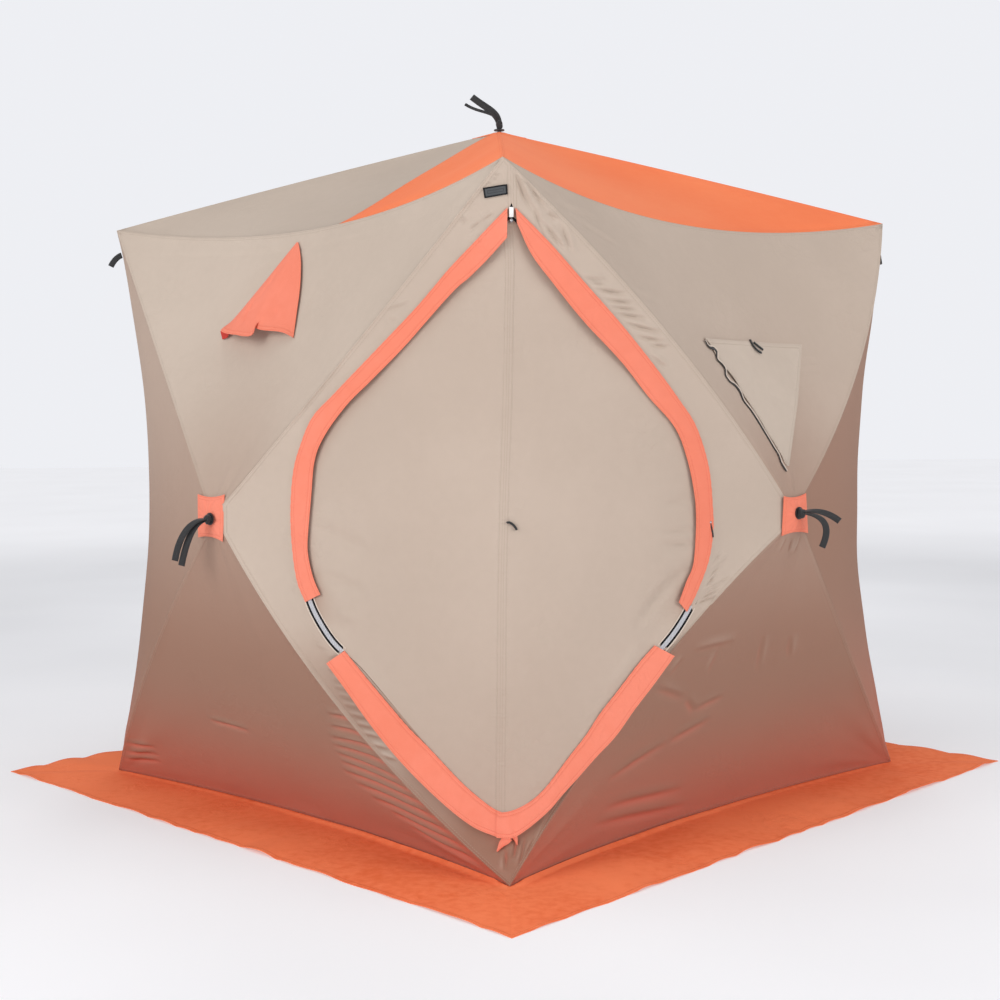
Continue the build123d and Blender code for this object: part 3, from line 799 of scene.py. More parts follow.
class Effects:
    """Shader node groups shared by the materials."""

    def __init__(self) -> None:
        self.weave = self._weave()
        self.crinkle = self._crinkle()
        self.stitch = self._stitch()
        self.tone = self._tone()

    @staticmethod
    def _weave() -> Tree:
        """Plain weave: threads over and under."""
        n, given, out = new_group("Weave", {"Pitch": 0.0006}, ["Height"])
        waves = [n.math("SINE", n.times(n.math("DIVIDE", part, given[0]), math.pi)) for part in n.uv()[:2]]
        n.put(out[0], n.plus(n.times(n.times(*waves), 0.5), 0.5))
        return n.tree

    @staticmethod
    def _crinkle() -> Tree:
        """Fine creases and soft dents of thin coated cloth, in metres of height."""
        n, given, out = new_group("Crinkle", {"Creases": 0.0006, "Dents": 0.0015}, ["Height"])
        fold = n.ramp(n.gap(n.noise(26.0, 4.0, Roughness=0.5), 0.5), 0.0, 0.11, 1.0, 0.0)
        fold = n.times(fold, n.ramp(n.noise(5.0, 1.0), 0.48, 0.68))
        n.put(out[0], n.plus(n.times(fold, given[0]), n.times(n.noise(7.0, 2.0), given[1])))
        return n.tree

    @staticmethod
    def _stitch() -> Tree:
        """Two rows of stitches and the step of a folded seam, from the seam fields."""
        n, given, out = new_group("Stitch", {"First": 0.003, "Second": 0.010}, ["Thread", "Height"])
        d, s = n.math("ABSOLUTE", n.field("seam_d")), n.field("seam_s")
        rows = [n.ramp(n.gap(d, given[i]), 0.0002, 0.0009, 1.0, 0.0) for i in (0, 1)]
        along = n.math("FRACT", n.math("DIVIDE", s, 0.004))
        dash = n.ramp(n.gap(along, 0.5), 0.30, 0.42, 1.0, 0.0)
        thread = n.times(n.math("MAXIMUM", *rows), dash)
        lap, near = n.ramp(d, 0.0115, 0.0135, 1.0, 0.0), n.ramp(d, 0.004, 0.035, 1.0, 0.0)
        pucker = n.add("ShaderNodeTexNoise", p_noise_dimensions="1D", W=s, Scale=90.0, Detail=1.0).outputs[0]
        height = n.plus(n.times(lap, 0.0006), n.times(thread, 0.0003))
        n.put(out[0], thread)
        n.put(out[1], n.plus(height, n.times(n.times(pucker, near), 0.0010)))
        return n.tree

    @staticmethod
    def _tone() -> Tree:
        """Slow changes of tone from wear and dust, around 0.5, stronger near the ground."""
        n, given, out = new_group("Tone", {"Ground": 0.3}, ["Value"])
        slow, fine = n.noise(1.8, 3.0), n.noise(40.0, 3.0)
        z = n.add("ShaderNodeSeparateXYZ", i0=n.place()).outputs[2]
        low = n.times(n.ramp(z, 0.0, 0.35, 1.0, 0.0), given[0])
        n.put(out[0], n.plus(n.plus(n.times(slow, 0.8), n.times(fine, 0.2)), n.times(low, fine)))
        return n.tree


@dataclass(frozen=True)
class ClothFinish:
    """Woven coated cloth: two close colours, weave, creases and stitches.

    A point field moves the colour to the warm tint at 0.5 and to the hot tint at 1: on the beige and orange
    cloth these are painted shade and painted red-orange bounce light, on the dark patch a dark border.
    """

    name: str
    colour: Colour
    shade: Colour
    thread: Colour
    rough: float = 0.85
    pitch: float = 0.0006
    creases: float = 0.0005
    dents: float = 0.0012
    # Tints of painted light: warm is a painted brown shade, hot a painted red-orange bounce light
    warm: Colour = srgb(152, 117, 99)
    hot: Colour = srgb(198, 116, 97)
    specular: float = 0.25

    def build(self, effects: Effects) -> Material:
        """Makes the material."""
        mat, n = new_material(self.name)
        tone, stitch = (n.add("ShaderNodeGroup", p_node_tree=tree).outputs
                        for tree in (effects.tone, effects.stitch))
        weave = n.add("ShaderNodeGroup", p_node_tree=effects.weave, i0=self.pitch).outputs[0]
        crinkle = n.add("ShaderNodeGroup", p_node_tree=effects.crinkle, i0=self.creases,
                        i1=self.dents).outputs[0]
        glow = n.field("glow")
        colour = n.mix(n.ramp(tone[0], 0.3, 0.75), self.shade, self.colour)
        colour = n.mix(n.ramp(glow, 0.0, 0.5), colour, self.warm)
        colour = n.mix(n.ramp(glow, 0.5, 1.0), colour, self.hot)
        colour = n.mix(n.times(stitch[0], 0.8), colour, self.thread)
        height = n.plus(n.times(weave, self.pitch * 0.12), n.plus(crinkle, stitch[1]))
        n.surface(colour, height, Roughness=self.rough, Sheen_Weight=0.0, Sheen_Roughness=0.4,
                  Specular_IOR_Level=self.specular)
        return mat


@dataclass(frozen=True)
class WebbingFinish:
    """Flat woven strap: diagonal ribs across its width."""

    name: str
    colour: Colour
    rib: float = 0.0016

    def build(self) -> Material:
        """Makes the material."""
        mat, n = new_material(self.name)
        along, across = n.uv()[:2]
        slant = n.plus(along, n.times(n.math("PINGPONG", across, 0.004), 0.8))
        wave = n.math("SINE", n.times(slant, 2 * math.pi / self.rib))
        colour = n.mix(n.noise(160.0, 2.0), scaled(self.colour, 0.6), scaled(self.colour, 1.8))
        n.surface(colour, n.times(wave, 0.00012), Roughness=0.55, Sheen_Weight=0.2)
        return mat


@dataclass(frozen=True)
class PlainFinish:
    """Plastic, fibre rod, film or metal with fine grain; far_light is its light far from the centre."""

    name: str
    colour: Colour
    rough: float = 0.45
    metal: float = 0.0
    grain: float = 220.0
    depth: float = 0.00008
    alpha: float = 1.0
    light: float = 0.0
    far_light: float = 0.0

    def build(self) -> Material:
        """Makes the material."""
        mat, n = new_material(self.name)
        grain = n.noise(self.grain, 3.0)
        slow = n.noise(min(14.0, self.grain), 2.0)
        light = self.light
        if self.far_light > 0.0:
            away = n.add("ShaderNodeVectorMath", p_operation="LENGTH", Vector=n.place()).outputs["Value"]
            light = n.ramp(away, 4.0, 13.0, self.light, self.far_light)
        n.surface(n.mix(slow, scaled(self.colour, 0.9), scaled(self.colour, 1.15)),
                  n.times(grain, self.depth),
                  Roughness=n.ramp(grain, 0.3, 0.7, self.rough * 0.85, min(self.rough * 1.2, 1.0)),
                  Metallic=self.metal, Alpha=self.alpha, Emission_Color=self.colour, Emission_Strength=light)
        return mat


class Palette:
    """All materials of the shelter."""

    def __init__(self) -> None:
        effects = Effects()

        def cloth(name: str, colour: Sequence[int], shade: Sequence[int], thread: Sequence[int],
                  **more) -> Material:
            return ClothFinish(name, srgb(*colour), srgb(*shade), srgb(*thread), **more).build(effects)
        self.beige = cloth("beige_cloth", (199, 183, 168), (191, 175, 160), (174, 155, 138))
        # The orange cloth's hot tint is a painted dark red shadow
        self.orange = cloth("orange_cloth", (241, 140, 116), (236, 130, 103), (226, 104, 76), creases=0.0007,
                            warm=srgb(236, 130, 103), hot=srgb(190, 60, 50))
        self.roof = cloth("roof_cloth", (255, 142, 94), (252, 130, 82), (232, 106, 62))
        self.skirt = cloth("skirt_cloth", (255, 138, 92), (240, 112, 66), (214, 88, 48), rough=0.95,
                           pitch=0.0009, creases=0.0009, dents=0.002, specular=0.1)
        self.tape = cloth("zip_tape", (26, 26, 28), (18, 18, 20), (60, 60, 62))
        self.dark = cloth("dark_patch", (88, 90, 92), (70, 72, 74), (40, 40, 42), warm=srgb(30, 30, 32),
                          hot=srgb(24, 24, 26))
        self.mesh = cloth("mesh_cloth", (30, 30, 30), (20, 20, 20), (50, 50, 50))
        self.piping = cloth("bound_edge", (218, 203, 188), (206, 190, 175), (190, 174, 160))
        self.white = PlainFinish("tape_end", srgb(238, 234, 230), rough=0.6).build()
        self.chain = cloth("zip_chain", (206, 206, 208), (186, 186, 190), (150, 150, 154), pitch=0.0008)
        self.webbing = WebbingFinish("webbing", srgb(17, 17, 19)).build()
        self.hub = PlainFinish("hub_plastic", srgb(38, 38, 40)).build()
        self.pole = PlainFinish("pole_fibre", srgb(214, 208, 196), rough=0.35).build()
        self.film = PlainFinish("window_film", srgb(60, 64, 70), rough=0.18, alpha=0.6).build()
        self.teeth = PlainFinish("zip_teeth", srgb(196, 196, 200), rough=0.35, grain=90.0).build()
        self.metal = PlainFinish("zip_slider", srgb(176, 178, 182), rough=0.3, metal=0.9).build()
        self.floor = PlainFinish("floor", srgb(222, 222, 224), rough=0.95, grain=0.6, depth=0.0, light=0.30,
                                 far_light=0.64).build()


class Group:
    """Pieces that take their materials from the palette."""

    def __init__(self, palette: Palette) -> None:
        self.palette = palette


# Panels
def fade(u: Array, v: Array) -> Array:
    """Zero on all four edges of a patch and one inside, so that neighbours still meet."""
    side = clamp(np.minimum(v, 1 - v) / 0.06)
    s = np.minimum(side, clamp(np.minimum(u / 0.04, (1 - u) / 0.06)))
    return s * s * (3 - 2 * s)


@dataclass
class Panel:
    """A patch dressed as one cloth piece; places a and b on it are its parts along first and second."""

    cloth: Cloth
    patch: Patch
    first: Array
    second: Array
    reliefs: list
    rows: int
    cols: int
    hole: Callable[[Array, Array], Array] | None = None
    glow: Callable[[Array, Array], Array] | None = None
    span: tuple[float, float] = (0.0, 1.0)

    def build(self) -> Object:
        """Makes the piece, over the whole patch or over a span of v."""
        u, t = square(self.rows, self.cols)
        v = self.span[0] + (self.span[1] - self.span[0]) * t
        points, normals = self.patch.at(u, v), self.patch.normals(u, v)
        a, b = points @ self.first, points @ self.second
        points = points + normals * (total_lift(self.reliefs, a, b) * fade(u, v))[..., None]
        fields = edge_fields(points) | {"uv": (a, b)}
        if self.glow is not None:
            fields["glow"] = self.glow(a, b)
        keep = None
        if self.hole is not None:
            keep = ~self.hole(a, b).ravel()[grid_quads(self.rows, self.cols)].all(1)
        return self.cloth.build(points, normals, fields, keep)


def inside_triangle(corners: Sequence[tuple[float, float]], inset: float) -> Callable[[Array, Array], Array]:
    """Test of places inside a triangle whose edges are moved in by inset."""
    pts = np.array(corners)
    centre = pts.mean(0)

    def test(a: Array, b: Array) -> Array:
        inside = np.ones(np.shape(a), bool)
        for p, q in zip(pts, np.roll(pts, -1, 0)):
            normal = np.array([-(q - p)[1], (q - p)[0]])
            normal = normal / np.linalg.norm(normal) * (1 if normal @ (centre - p) > 0 else -1)
            inside &= (a - p[0]) * normal[0] + (b - p[1]) * normal[1] > inset
        return inside
    return test


# Measured folds of the walls: part along the wall and height
UPPER_WINDOW_CREASES = ((-.730, 1.661, -.511, 1.646), (-.689, 1.635, -.481, 1.578),
                        (-.558, 1.446, -.417, 1.438), (.208, 1.292, .290, 1.297),
                        (.200, 1.268, .290, 1.277))
LOWER_LEFT_FOLDS = ((.359, .368, .543, .386), (.345, .334, .560, .345), (.321, .298, .598, .313),
                    (.321, .275, .616, .277), (.321, .252, .637, .237), (.321, .228, .665, .208),
                    (.316, .199, .701, .180), (.355, .169, .731, .147), (.406, .137, .760, .113),
                    (.473, .109, .799, .078), (.538, .081, .811, .044))
LOWER_LEFT_FINE = ((-.781, .112, -.636, .120), (-.805, .080, -.640, .094), (-.834, .050, -.643, .069),
                   (-.285, .259, -.092, .251))
LOWER_RIGHT_CREASES = ((-.404, .459, -.355, .507), (-.212, .442, -.184, .514), (-.321, .518, -.110, .520),
                       (-.461, .439, -.285, .382), (-.285, .382, -.223, .334), (-.227, .341, -.092, .364),
                       (-.563, .203, -.306, .260), (-.306, .260, -.127, .302), (-.542, .119, -.162, .098),
                       (-.586, .080, -.120, .040), (.023, .526, .043, .411), (.151, .512, .175, .436))
UNDER_PATCH = ((-.034, .770, -.023, .812), (.034, .760, .049, .812), (.012, .765, .010, .805))


class WallPanels(Group):
    """Upper and lower panels of the four walls, with window and vent openings."""

    def build(self) -> None:
        """Makes all eight panels."""
        for seed, wall in enumerate(Wall):
            self._upper(wall, seed)
            self._lower(wall, seed)

    def _make(self, part: str, wall: Wall, patch: Patch, reliefs: list, size: tuple[int, int],
              glow: Callable[[Array, Array], Array],
              hole: Callable[[Array, Array], Array] | None = None) -> None:
        cloth = Cloth(f"cloth_{part}_{wall.label}", self.palette.beige, [f"wall_{part}_{wall.label}"],
                      "beige_cloth")
        Panel(cloth, patch, wall.along, UP, reliefs, *size, hole, glow).build()

    def _upper(self, wall: Wall, seed: int) -> None:
        hub = PLAN.hub_height
        reliefs = [Swell(11 + seed, 0.0020, 0.24), Rays((0.0, hub), 5, 0.0016, 0.35, seed)]
        for corner in (wall.door_corner, wall.far_corner):
            start = (float(corner.top @ wall.along), PLAN.eave_height)
            reliefs.append(Rays(start, 7, 0.0014, 0.30, seed + 5))
        if wall.has_window:
            reliefs += grooves(UPPER_WINDOW_CREASES, 0.0060, 0.0030, 0.013)
        if float(wall.door_corner.top @ wall.along) > 0:
            reliefs.append(crease((-0.74, 1.672, 0.70, 1.672), 0.006, -0.0018, -0.045))
        half, base, apex = wall.opening
        corners = [(-half, base), (half, base), (0, apex)]
        # Painted shade: darker all over on the right wall, darker round the hub and a little darker lower
        # down
        shade = 0.10 if wall is Wall.FRONT_RIGHT else 0.03

        def glow(a: Array, b: Array) -> Array:
            return (shade + 0.16 * bell(np.hypot(a, b - hub), 0.35)
                    + 0.05 * clamp((PLAN.eave_height - b) / 0.9))
        self._make("upper", wall, Seams.upper(wall), reliefs, GRIDS.upper[wall.in_view], glow,
                   inside_triangle(corners, wall.hem_width))

    def _lower(self, wall: Wall, seed: int) -> None:
        hub = PLAN.hub_height
        reliefs = [Swell(31 + seed, 0.0024, 0.20), Rays((0.0, hub), 5, 0.0016, 0.35, seed + 9)]
        for corner in (wall.door_corner, wall.far_corner):
            reliefs.append(Rays((float(corner.low @ wall.along), 0.0), 8, 0.0030, 0.35, seed + 15))
        if wall.has_window:
            folds = (grooves(LOWER_RIGHT_CREASES, 0.011, 0.0046, 0.018)
                     + grooves(UNDER_PATCH, 0.004, 0.0030, 0.008))
        else:
            folds = (grooves(LOWER_LEFT_FOLDS, 0.0075, 0.0085, 0.012)
                     + grooves(LOWER_LEFT_FINE, 0.0060, 0.0060, 0.011))

        # Painted shade and painted orange bounce light from the skirt: darker and redder towards the ground,
        # more so in the hollows of the folds and less on their ridges
        def glow(a: Array, b: Array) -> Array:
            hollow = np.clip(total_lift(folds, a, b) / -0.006, -0.8, 1)
            return 0.34 + 0.50 * clamp((hub - b) / hub) ** 1.6 + (0.20 if wall.has_window else 0.23) * hollow
        self._make("lower", wall, Seams.lower(wall), reliefs + folds, GRIDS.lower[wall.in_view], glow)


class CornerPanels(Group):
    """The three plain corner panels, each one sheet folded over the upright line."""

    def build(self) -> None:
        """Makes the left, right and back corner panels."""
        self._panel(0, Corner.LEFT, (Wall.FRONT_LEFT, Wall.BACK_LEFT))
        self._panel(1, Corner.RIGHT, (Wall.FRONT_RIGHT, Wall.BACK_RIGHT))
        self._panel(2, Corner.BACK, (Wall.BACK_LEFT, Wall.BACK_RIGHT))

    def _panel(self, seed: int, corner: Corner, pair: tuple[Wall, Wall]) -> None:
        side, name = np.cross(UP, corner.axis), corner.name.lower()
        u, v = square(*GRIDS.corner)
        reliefs = [Swell(51 + seed, 0.003, 0.25)]
        reliefs += [Rays((0.0, float(point[2])), 6, 0.003, 0.4, seed + 20)
                    for point in (corner.top, corner.low)]
        edge = clamp(np.minimum(v, 1 - v) / 0.06) * clamp(u / 0.05)
        halves = []
        for patch in (Seams.corner(wall, corner) for wall in pair):
            p, m = patch.at(u, v), patch.normals(u, v)
            halves.append((p + m * (total_lift(reliefs, p @ side, p @ UP) * edge)[..., None], m))
        points, normals = (np.concatenate([halves[0][k], halves[1][k][-2::-1]]) for k in (0, 1))
        normals[len(u) - 1] = unit(halves[0][1][-1] + halves[1][1][-1])
        down = np.cumsum(np.linalg.norm(np.diff(points, axis=1, prepend=points[:, :1]), axis=2), 1)
        height = points @ UP
        # Painted shade and painted orange bounce light, growing towards the ground; the left corner starts
        # from less
        warm = 0.22 if corner is Corner.LEFT else 0.40
        fields = {"seam_d": np.minimum(down, down[:, -1:] - down), "seam_s": height,
                  "uv": (points @ side, height),
                  "glow": warm + (0.86 - warm) * clamp((1.5 - height) / 1.5) ** 2.2}
        cloth = Cloth("cloth_corner_" + name, self.palette.beige, ["corner_panel_" + name], "beige_cloth")
        cloth.build(points, normals, fields)


class FrontSkin:
    """The door corner's surface as y over x and z, made from its two half patches."""

    def __init__(self) -> None:
        self.left = Seams.corner(Wall.FRONT_LEFT, Corner.FRONT)
        self.right = Seams.corner(Wall.FRONT_RIGHT, Corner.FRONT)

    def at(self, x: Array, z: Array, lift: Array | float = 0.0) -> tuple[Array, Array]:
        """Points at places x, z, lifted off the skin, and the skin's outward normals."""
        x, z = np.asarray(x, float), np.asarray(z, float)
        points, normals = np.zeros(x.shape + (3,)), np.zeros(x.shape + (3,))
        for patch, mask in ((self.left, x < 0), (self.right, x >= 0)):
            if mask.any():
                u, v = patch.find(np.array([1.0, 0, 0]), UP, x[mask], z[mask])
                points[mask], normals[mask] = patch.at(u, v), patch.normals(u, v)
        blend = clamp(1 - np.abs(x) / 0.03)[..., None] * 0.999
        normals = unit(normals * (1 - blend) + normals * np.array([0.0, 1, 1]) * blend)
        points[..., 0], points[..., 2] = x, z
        return points + normals * np.broadcast_to(lift, x.shape)[..., None], normals


class DoorOutline:
    """One side of the door's outline in x and z, from top to bottom, with a rounded corner."""

    def __init__(self, sign: int) -> None:
        """Args: sign: 1 for the right side, -1 for the left one."""
        self.sign = sign
        self.top = np.array([PLAN.door_top_shift, PLAN.door_top])
        self.low = np.array([PLAN.door_low_shift, PLAN.door_bottom])
        side = np.array([PLAN.door_side_shift + sign * PLAN.door_half, PLAN.door_side_z])
        self.drift = (0.0, 0.0)
        up, down = unit(self.top - side), unit(self.low - side)
        half = math.acos(float(up @ down)) / 2
        run = PLAN.door_round / math.tan(half)
        self.centre = side + unit(up + down) * PLAN.door_round / math.sin(half)
        self.first, self.last = side + up * run, side + down * run
        self.angles = [math.atan2(*(sign * p[::-1] * [sign, 1]))
                       for p in (self.first - self.centre, self.last - self.centre)]
        self.lengths = np.array([np.linalg.norm(self.first - self.top),
                                 abs(self.angles[1] - self.angles[0]) * PLAN.door_round,
                                 np.linalg.norm(self.low - self.last)])

    @property
    def length(self) -> float:
        """Length from top to bottom."""
        return float(self.lengths.sum())

    def slip(self, z: float, amount: float) -> None:
        """Moves the outline outward by an amount near a height, to where the photo shows it."""
        self.drift = (self.at_height(z), amount)

    def side(self, s: Array, inset: Array | float = 0.0) -> tuple[Array, Array]:
        """x and z of the places at length s from the top, moved in by inset."""
        s = np.asarray(s, float)
        inset = np.broadcast_to(np.asarray(inset, float), s.shape)
        inset = inset - self.drift[1] * bell(s - self.drift[0], 0.11, 4)
        l1, l2, _ = self.lengths
        d1, d3 = unit(self.first - self.top), unit(self.low - self.last)
        turn = self.angles[0] + (self.angles[1] - self.angles[0]) * clamp((s - l1) / l2)
        ring = np.stack([self.sign * np.cos(turn), np.sin(turn)], -1)
        n1, n3 = (np.array([d[1], -d[0]]) * (1 if d[1] * self.sign < 0 else -1) for d in (d1, d3))
        first, last = (s <= l1)[..., None], (s >= l1 + l2)[..., None]
        straight = np.where(last, self.last + d3 * (s - l1 - l2)[..., None],
                            self.centre + ring * PLAN.door_round)
        place = np.where(first, self.top + d1 * s[..., None], straight)
        out = place + np.where(first, n1, np.where(last, n3, -ring)) * inset[..., None]
        return out[..., 0], out[..., 1]

    def at_height(self, z: float) -> float:
        """Length s where the outline passes a height."""
        s = np.linspace(0, self.length, 4000)
        return float(s[np.abs(self.side(s)[1] - z).argmin()])


def smooth_path(points: Sequence[Sequence[float]], count: int) -> Array:
    """Evenly spaced places on a smooth curve through the given ones (Catmull-Rom)."""
    p = np.asarray(points, float)
    p = np.concatenate([[2 * p[0] - p[1]], p, [2 * p[-1] - p[-2]]])
    t = np.linspace(0, 1, 24, endpoint=False)[:, None]
    fine = [0.5 * (2 * b + (c - a) * t + (2 * a - 5 * b + 4 * c - d) * t**2 + (3 * b - a - 3 * c + d) * t**3)
            for a, b, c, d in zip(p, p[1:], p[2:], p[3:])]
    fine = np.concatenate(fine + [p[-2:-1]])
    run = path_run(fine)
    at = np.linspace(0, run[-1], count)
    return np.stack([np.interp(at, run, fine[:, k]) for k in range(fine.shape[1])], 1)


def path_run(points: Array) -> Array:
    """Length along a path at each of its points."""
    return np.concatenate([[0], np.cumsum(np.linalg.norm(np.diff(points, axis=0), axis=1))])


def beside(path: Array) -> Array:
    """Unit vectors square to a flat path, to its left."""
    ahead = unit(np.gradient(path, axis=0))
    return np.stack([-ahead[:, 1], ahead[:, 0]], 1)


# Storm flaps: sewn edge and free edge in millimetres, x and z on the door corner
FLAPS = {
    "upper_left": (
        ((10, 1647), (-60, 1578), (-131, 1509), (-173, 1463), (-225, 1408), (-322, 1315), (-437, 1206),
         (-496, 1148), (-531, 1076), (-553, 1003), (-562, 901), (-558, 802), (-545, 719), (-522, 666)),
        ((8, 1577), (-32, 1531), (-80, 1486), (-117, 1456), (-187, 1384), (-255, 1313), (-335, 1236),
         (-397, 1179), (-453, 1108), (-485, 1042), (-500, 949), (-511, 837), (-510, 786), (-497, 730),
         (-478, 688))),
    "upper_right": (
        ((29, 1647), (116, 1562), (198, 1473), (290, 1374), (376, 1273), (445, 1185), (494, 1113),
         (530, 1006), (542, 891), (542, 836), (529, 763), (496, 685), (466, 635)),
        ((32, 1611), (66, 1538), (116, 1472), (198, 1373), (295, 1273), (363, 1190), (432, 1113), (466, 1033),
         (484, 940), (488, 854), (482, 761), (461, 712), (440, 661))),
    "lower_left": (
        ((-415, 547), (-356, 481), (-294, 414), (-248, 365), (-195, 317), (-113, 238), (-47, 188),
         (-12, 172)),
        ((-462, 512), (-414, 454), (-350, 372), (-288, 303), (-219, 238), (-144, 175), (-85, 136), (-34, 118),
         (-12, 112))),
    "lower_right": (
        ((376, 556), (331, 512), (274, 447), (230, 398), (194, 349), (151, 300), (116, 258), (86, 225),
         (55, 200), (18, 182), (-18, 174), (-28, 178)),
        ((425, 525), (369, 459), (315, 399), (266, 339), (218, 294), (171, 247), (132, 210), (105, 182),
         (74, 156), (40, 132), (8, 115), (-28, 114))),
}
# Measured creases of the door surround, in x and z on the door corner
APEX_CREASES = ((.028, 1.732, .058, 1.652), (.036, 1.722, .072, 1.634), (.040, 1.733, .106, 1.638),
                (.054, 1.719, .121, 1.656), (.106, 1.638, .132, 1.621), (.140, 1.614, .166, 1.542),
                (.091, 1.620, .148, 1.549), (.182, 1.600, .235, 1.543), (.070, 1.660, .100, 1.575))
TOP_DASHES = ((-.021, 1.722, -.007, 1.724), (-.025, 1.713, -.014, 1.713), (-.040, 1.703, -.028, 1.704))
LEFT_PINCHES = ((-.083, 1.596, -.053, 1.616), (-.053, 1.616, -.020, 1.634), (-.110, 1.624, -.092, 1.616),
                (-.092, 1.616, -.104, 1.633), (-.110, 1.640, -.070, 1.668), (-.301, 1.411, -.235, 1.428),
                (-.291, 1.390, -.259, 1.386))
LEFT_WRINKLES = ((-.568, .711, -.545, .704), (-.568, .701, -.547, .695), (-.510, .598, -.466, .593),
                 (-.506, .580, -.470, .572), (-.506, .566, -.462, .559), (-.501, .554, -.458, .544),
                 (-.466, .495, -.423, .490), (-.449, .472, -.415, .462), (-.445, .452, -.402, .447),
                 (-.436, .432, -.389, .424), (-.423, .409, -.372, .403), (-.406, .386, -.355, .378),
                 (-.389, .364, -.339, .355), (-.372, .341, -.318, .333), (-.347, .315, -.297, .307),
                 (-.322, .290, -.277, .281))
RIGHT_PUCKERS = ((.199, 1.481, .253, 1.480), (.215, 1.471, .248, 1.469), (.220, 1.456, .306, 1.446),
                 (.249, 1.430, .330, 1.423), (.262, 1.412, .338, 1.407), (.275, 1.397, .359, 1.387),
                 (.296, 1.375, .400, 1.352), (.330, 1.342, .417, 1.328), (.368, 1.321, .422, 1.317),
                 (.363, 1.296, .412, 1.263))
RIGHT_LOW_PUCKERS = ((.532, .746, .573, .784), (.530, .728, .592, .772), (.521, .711, .579, .755),
                     (.514, .692, .561, .729), (.506, .680, .596, .716), (.501, .669, .578, .703),
                     (.496, .660, .569, .688), (.490, .651, .559, .670))
LOW_CREASES = ((.052, .061, .100, .165), (.010, .063, .019, .111), (.035, .058, .063, .112),
               (-.011, .035, -.008, .086), (.075, .075, .118, .155), (.024, .045, .040, .112))
# Lines with the width, depth and ridge of their grooves
SURROUND_FOLDS = ((APEX_CREASES, 0.0045, 0.0066, 0.010), (TOP_DASHES, 0.0022, 0.0030, 0.004),
                  (LEFT_PINCHES, 0.0036, 0.0042, 0.007), (LEFT_WRINKLES, 0.0038, 0.0036, 0.008),
                  (RIGHT_PUCKERS, 0.0036, 0.0066, 0.009), (RIGHT_LOW_PUCKERS, 0.0030, 0.0048, 0.006),
                  (LOW_CREASES, 0.0040, 0.0046, 0.009))
# Soft folds of the door cloth: line, width, height and bend
DOOR_FOLDS = (((-.500, .860, -.350, .800), 0.016, -0.008, 0.006),
              ((-.490, .737, -.350, .690), 0.014, -0.007, 0.006),
              ((-.446, .644, -.373, .620), 0.010, 0.005, 0.004), ((.400, .844, .492, .846), 0.007, -0.006),
              ((.400, .808, .492, .810), 0.008, -0.007), ((.484, .760, .330, .600), 0.012, -0.010, -0.012),
              ((.344, .562, .236, .445), 0.012, 0.004, 0.006), ((.49, .93, .40, .915), 0.008, -0.005))
# Where the surround's points lie closer together, for its upper and its lower half
SURROUND_DENSE_RIGHT = (((0.02, 0.10, 2.0), (0.50, 0.30, 2.2)), ((0.26, 0.14, 1.8), (0.97, 0.12, 2.0)))
SURROUND_DENSE_LEFT = (((0.02, 0.10, 2.0), (0.50, 0.30, 0.4)), ((0.48, 0.36, 1.4), (0.97, 0.12, 2.0)))
# Cloth ends below the lower flaps: name, path and half width
FLAP_TAILS = (("left", ((-0.004, 0.117), (-0.010, 0.108), (-0.019, 0.098), (-0.029, 0.082)), 0.013),
              ("right", ((0.010, 0.130), (0.012, 0.120), (0.016, 0.110), (0.019, 0.098)), 0.010))


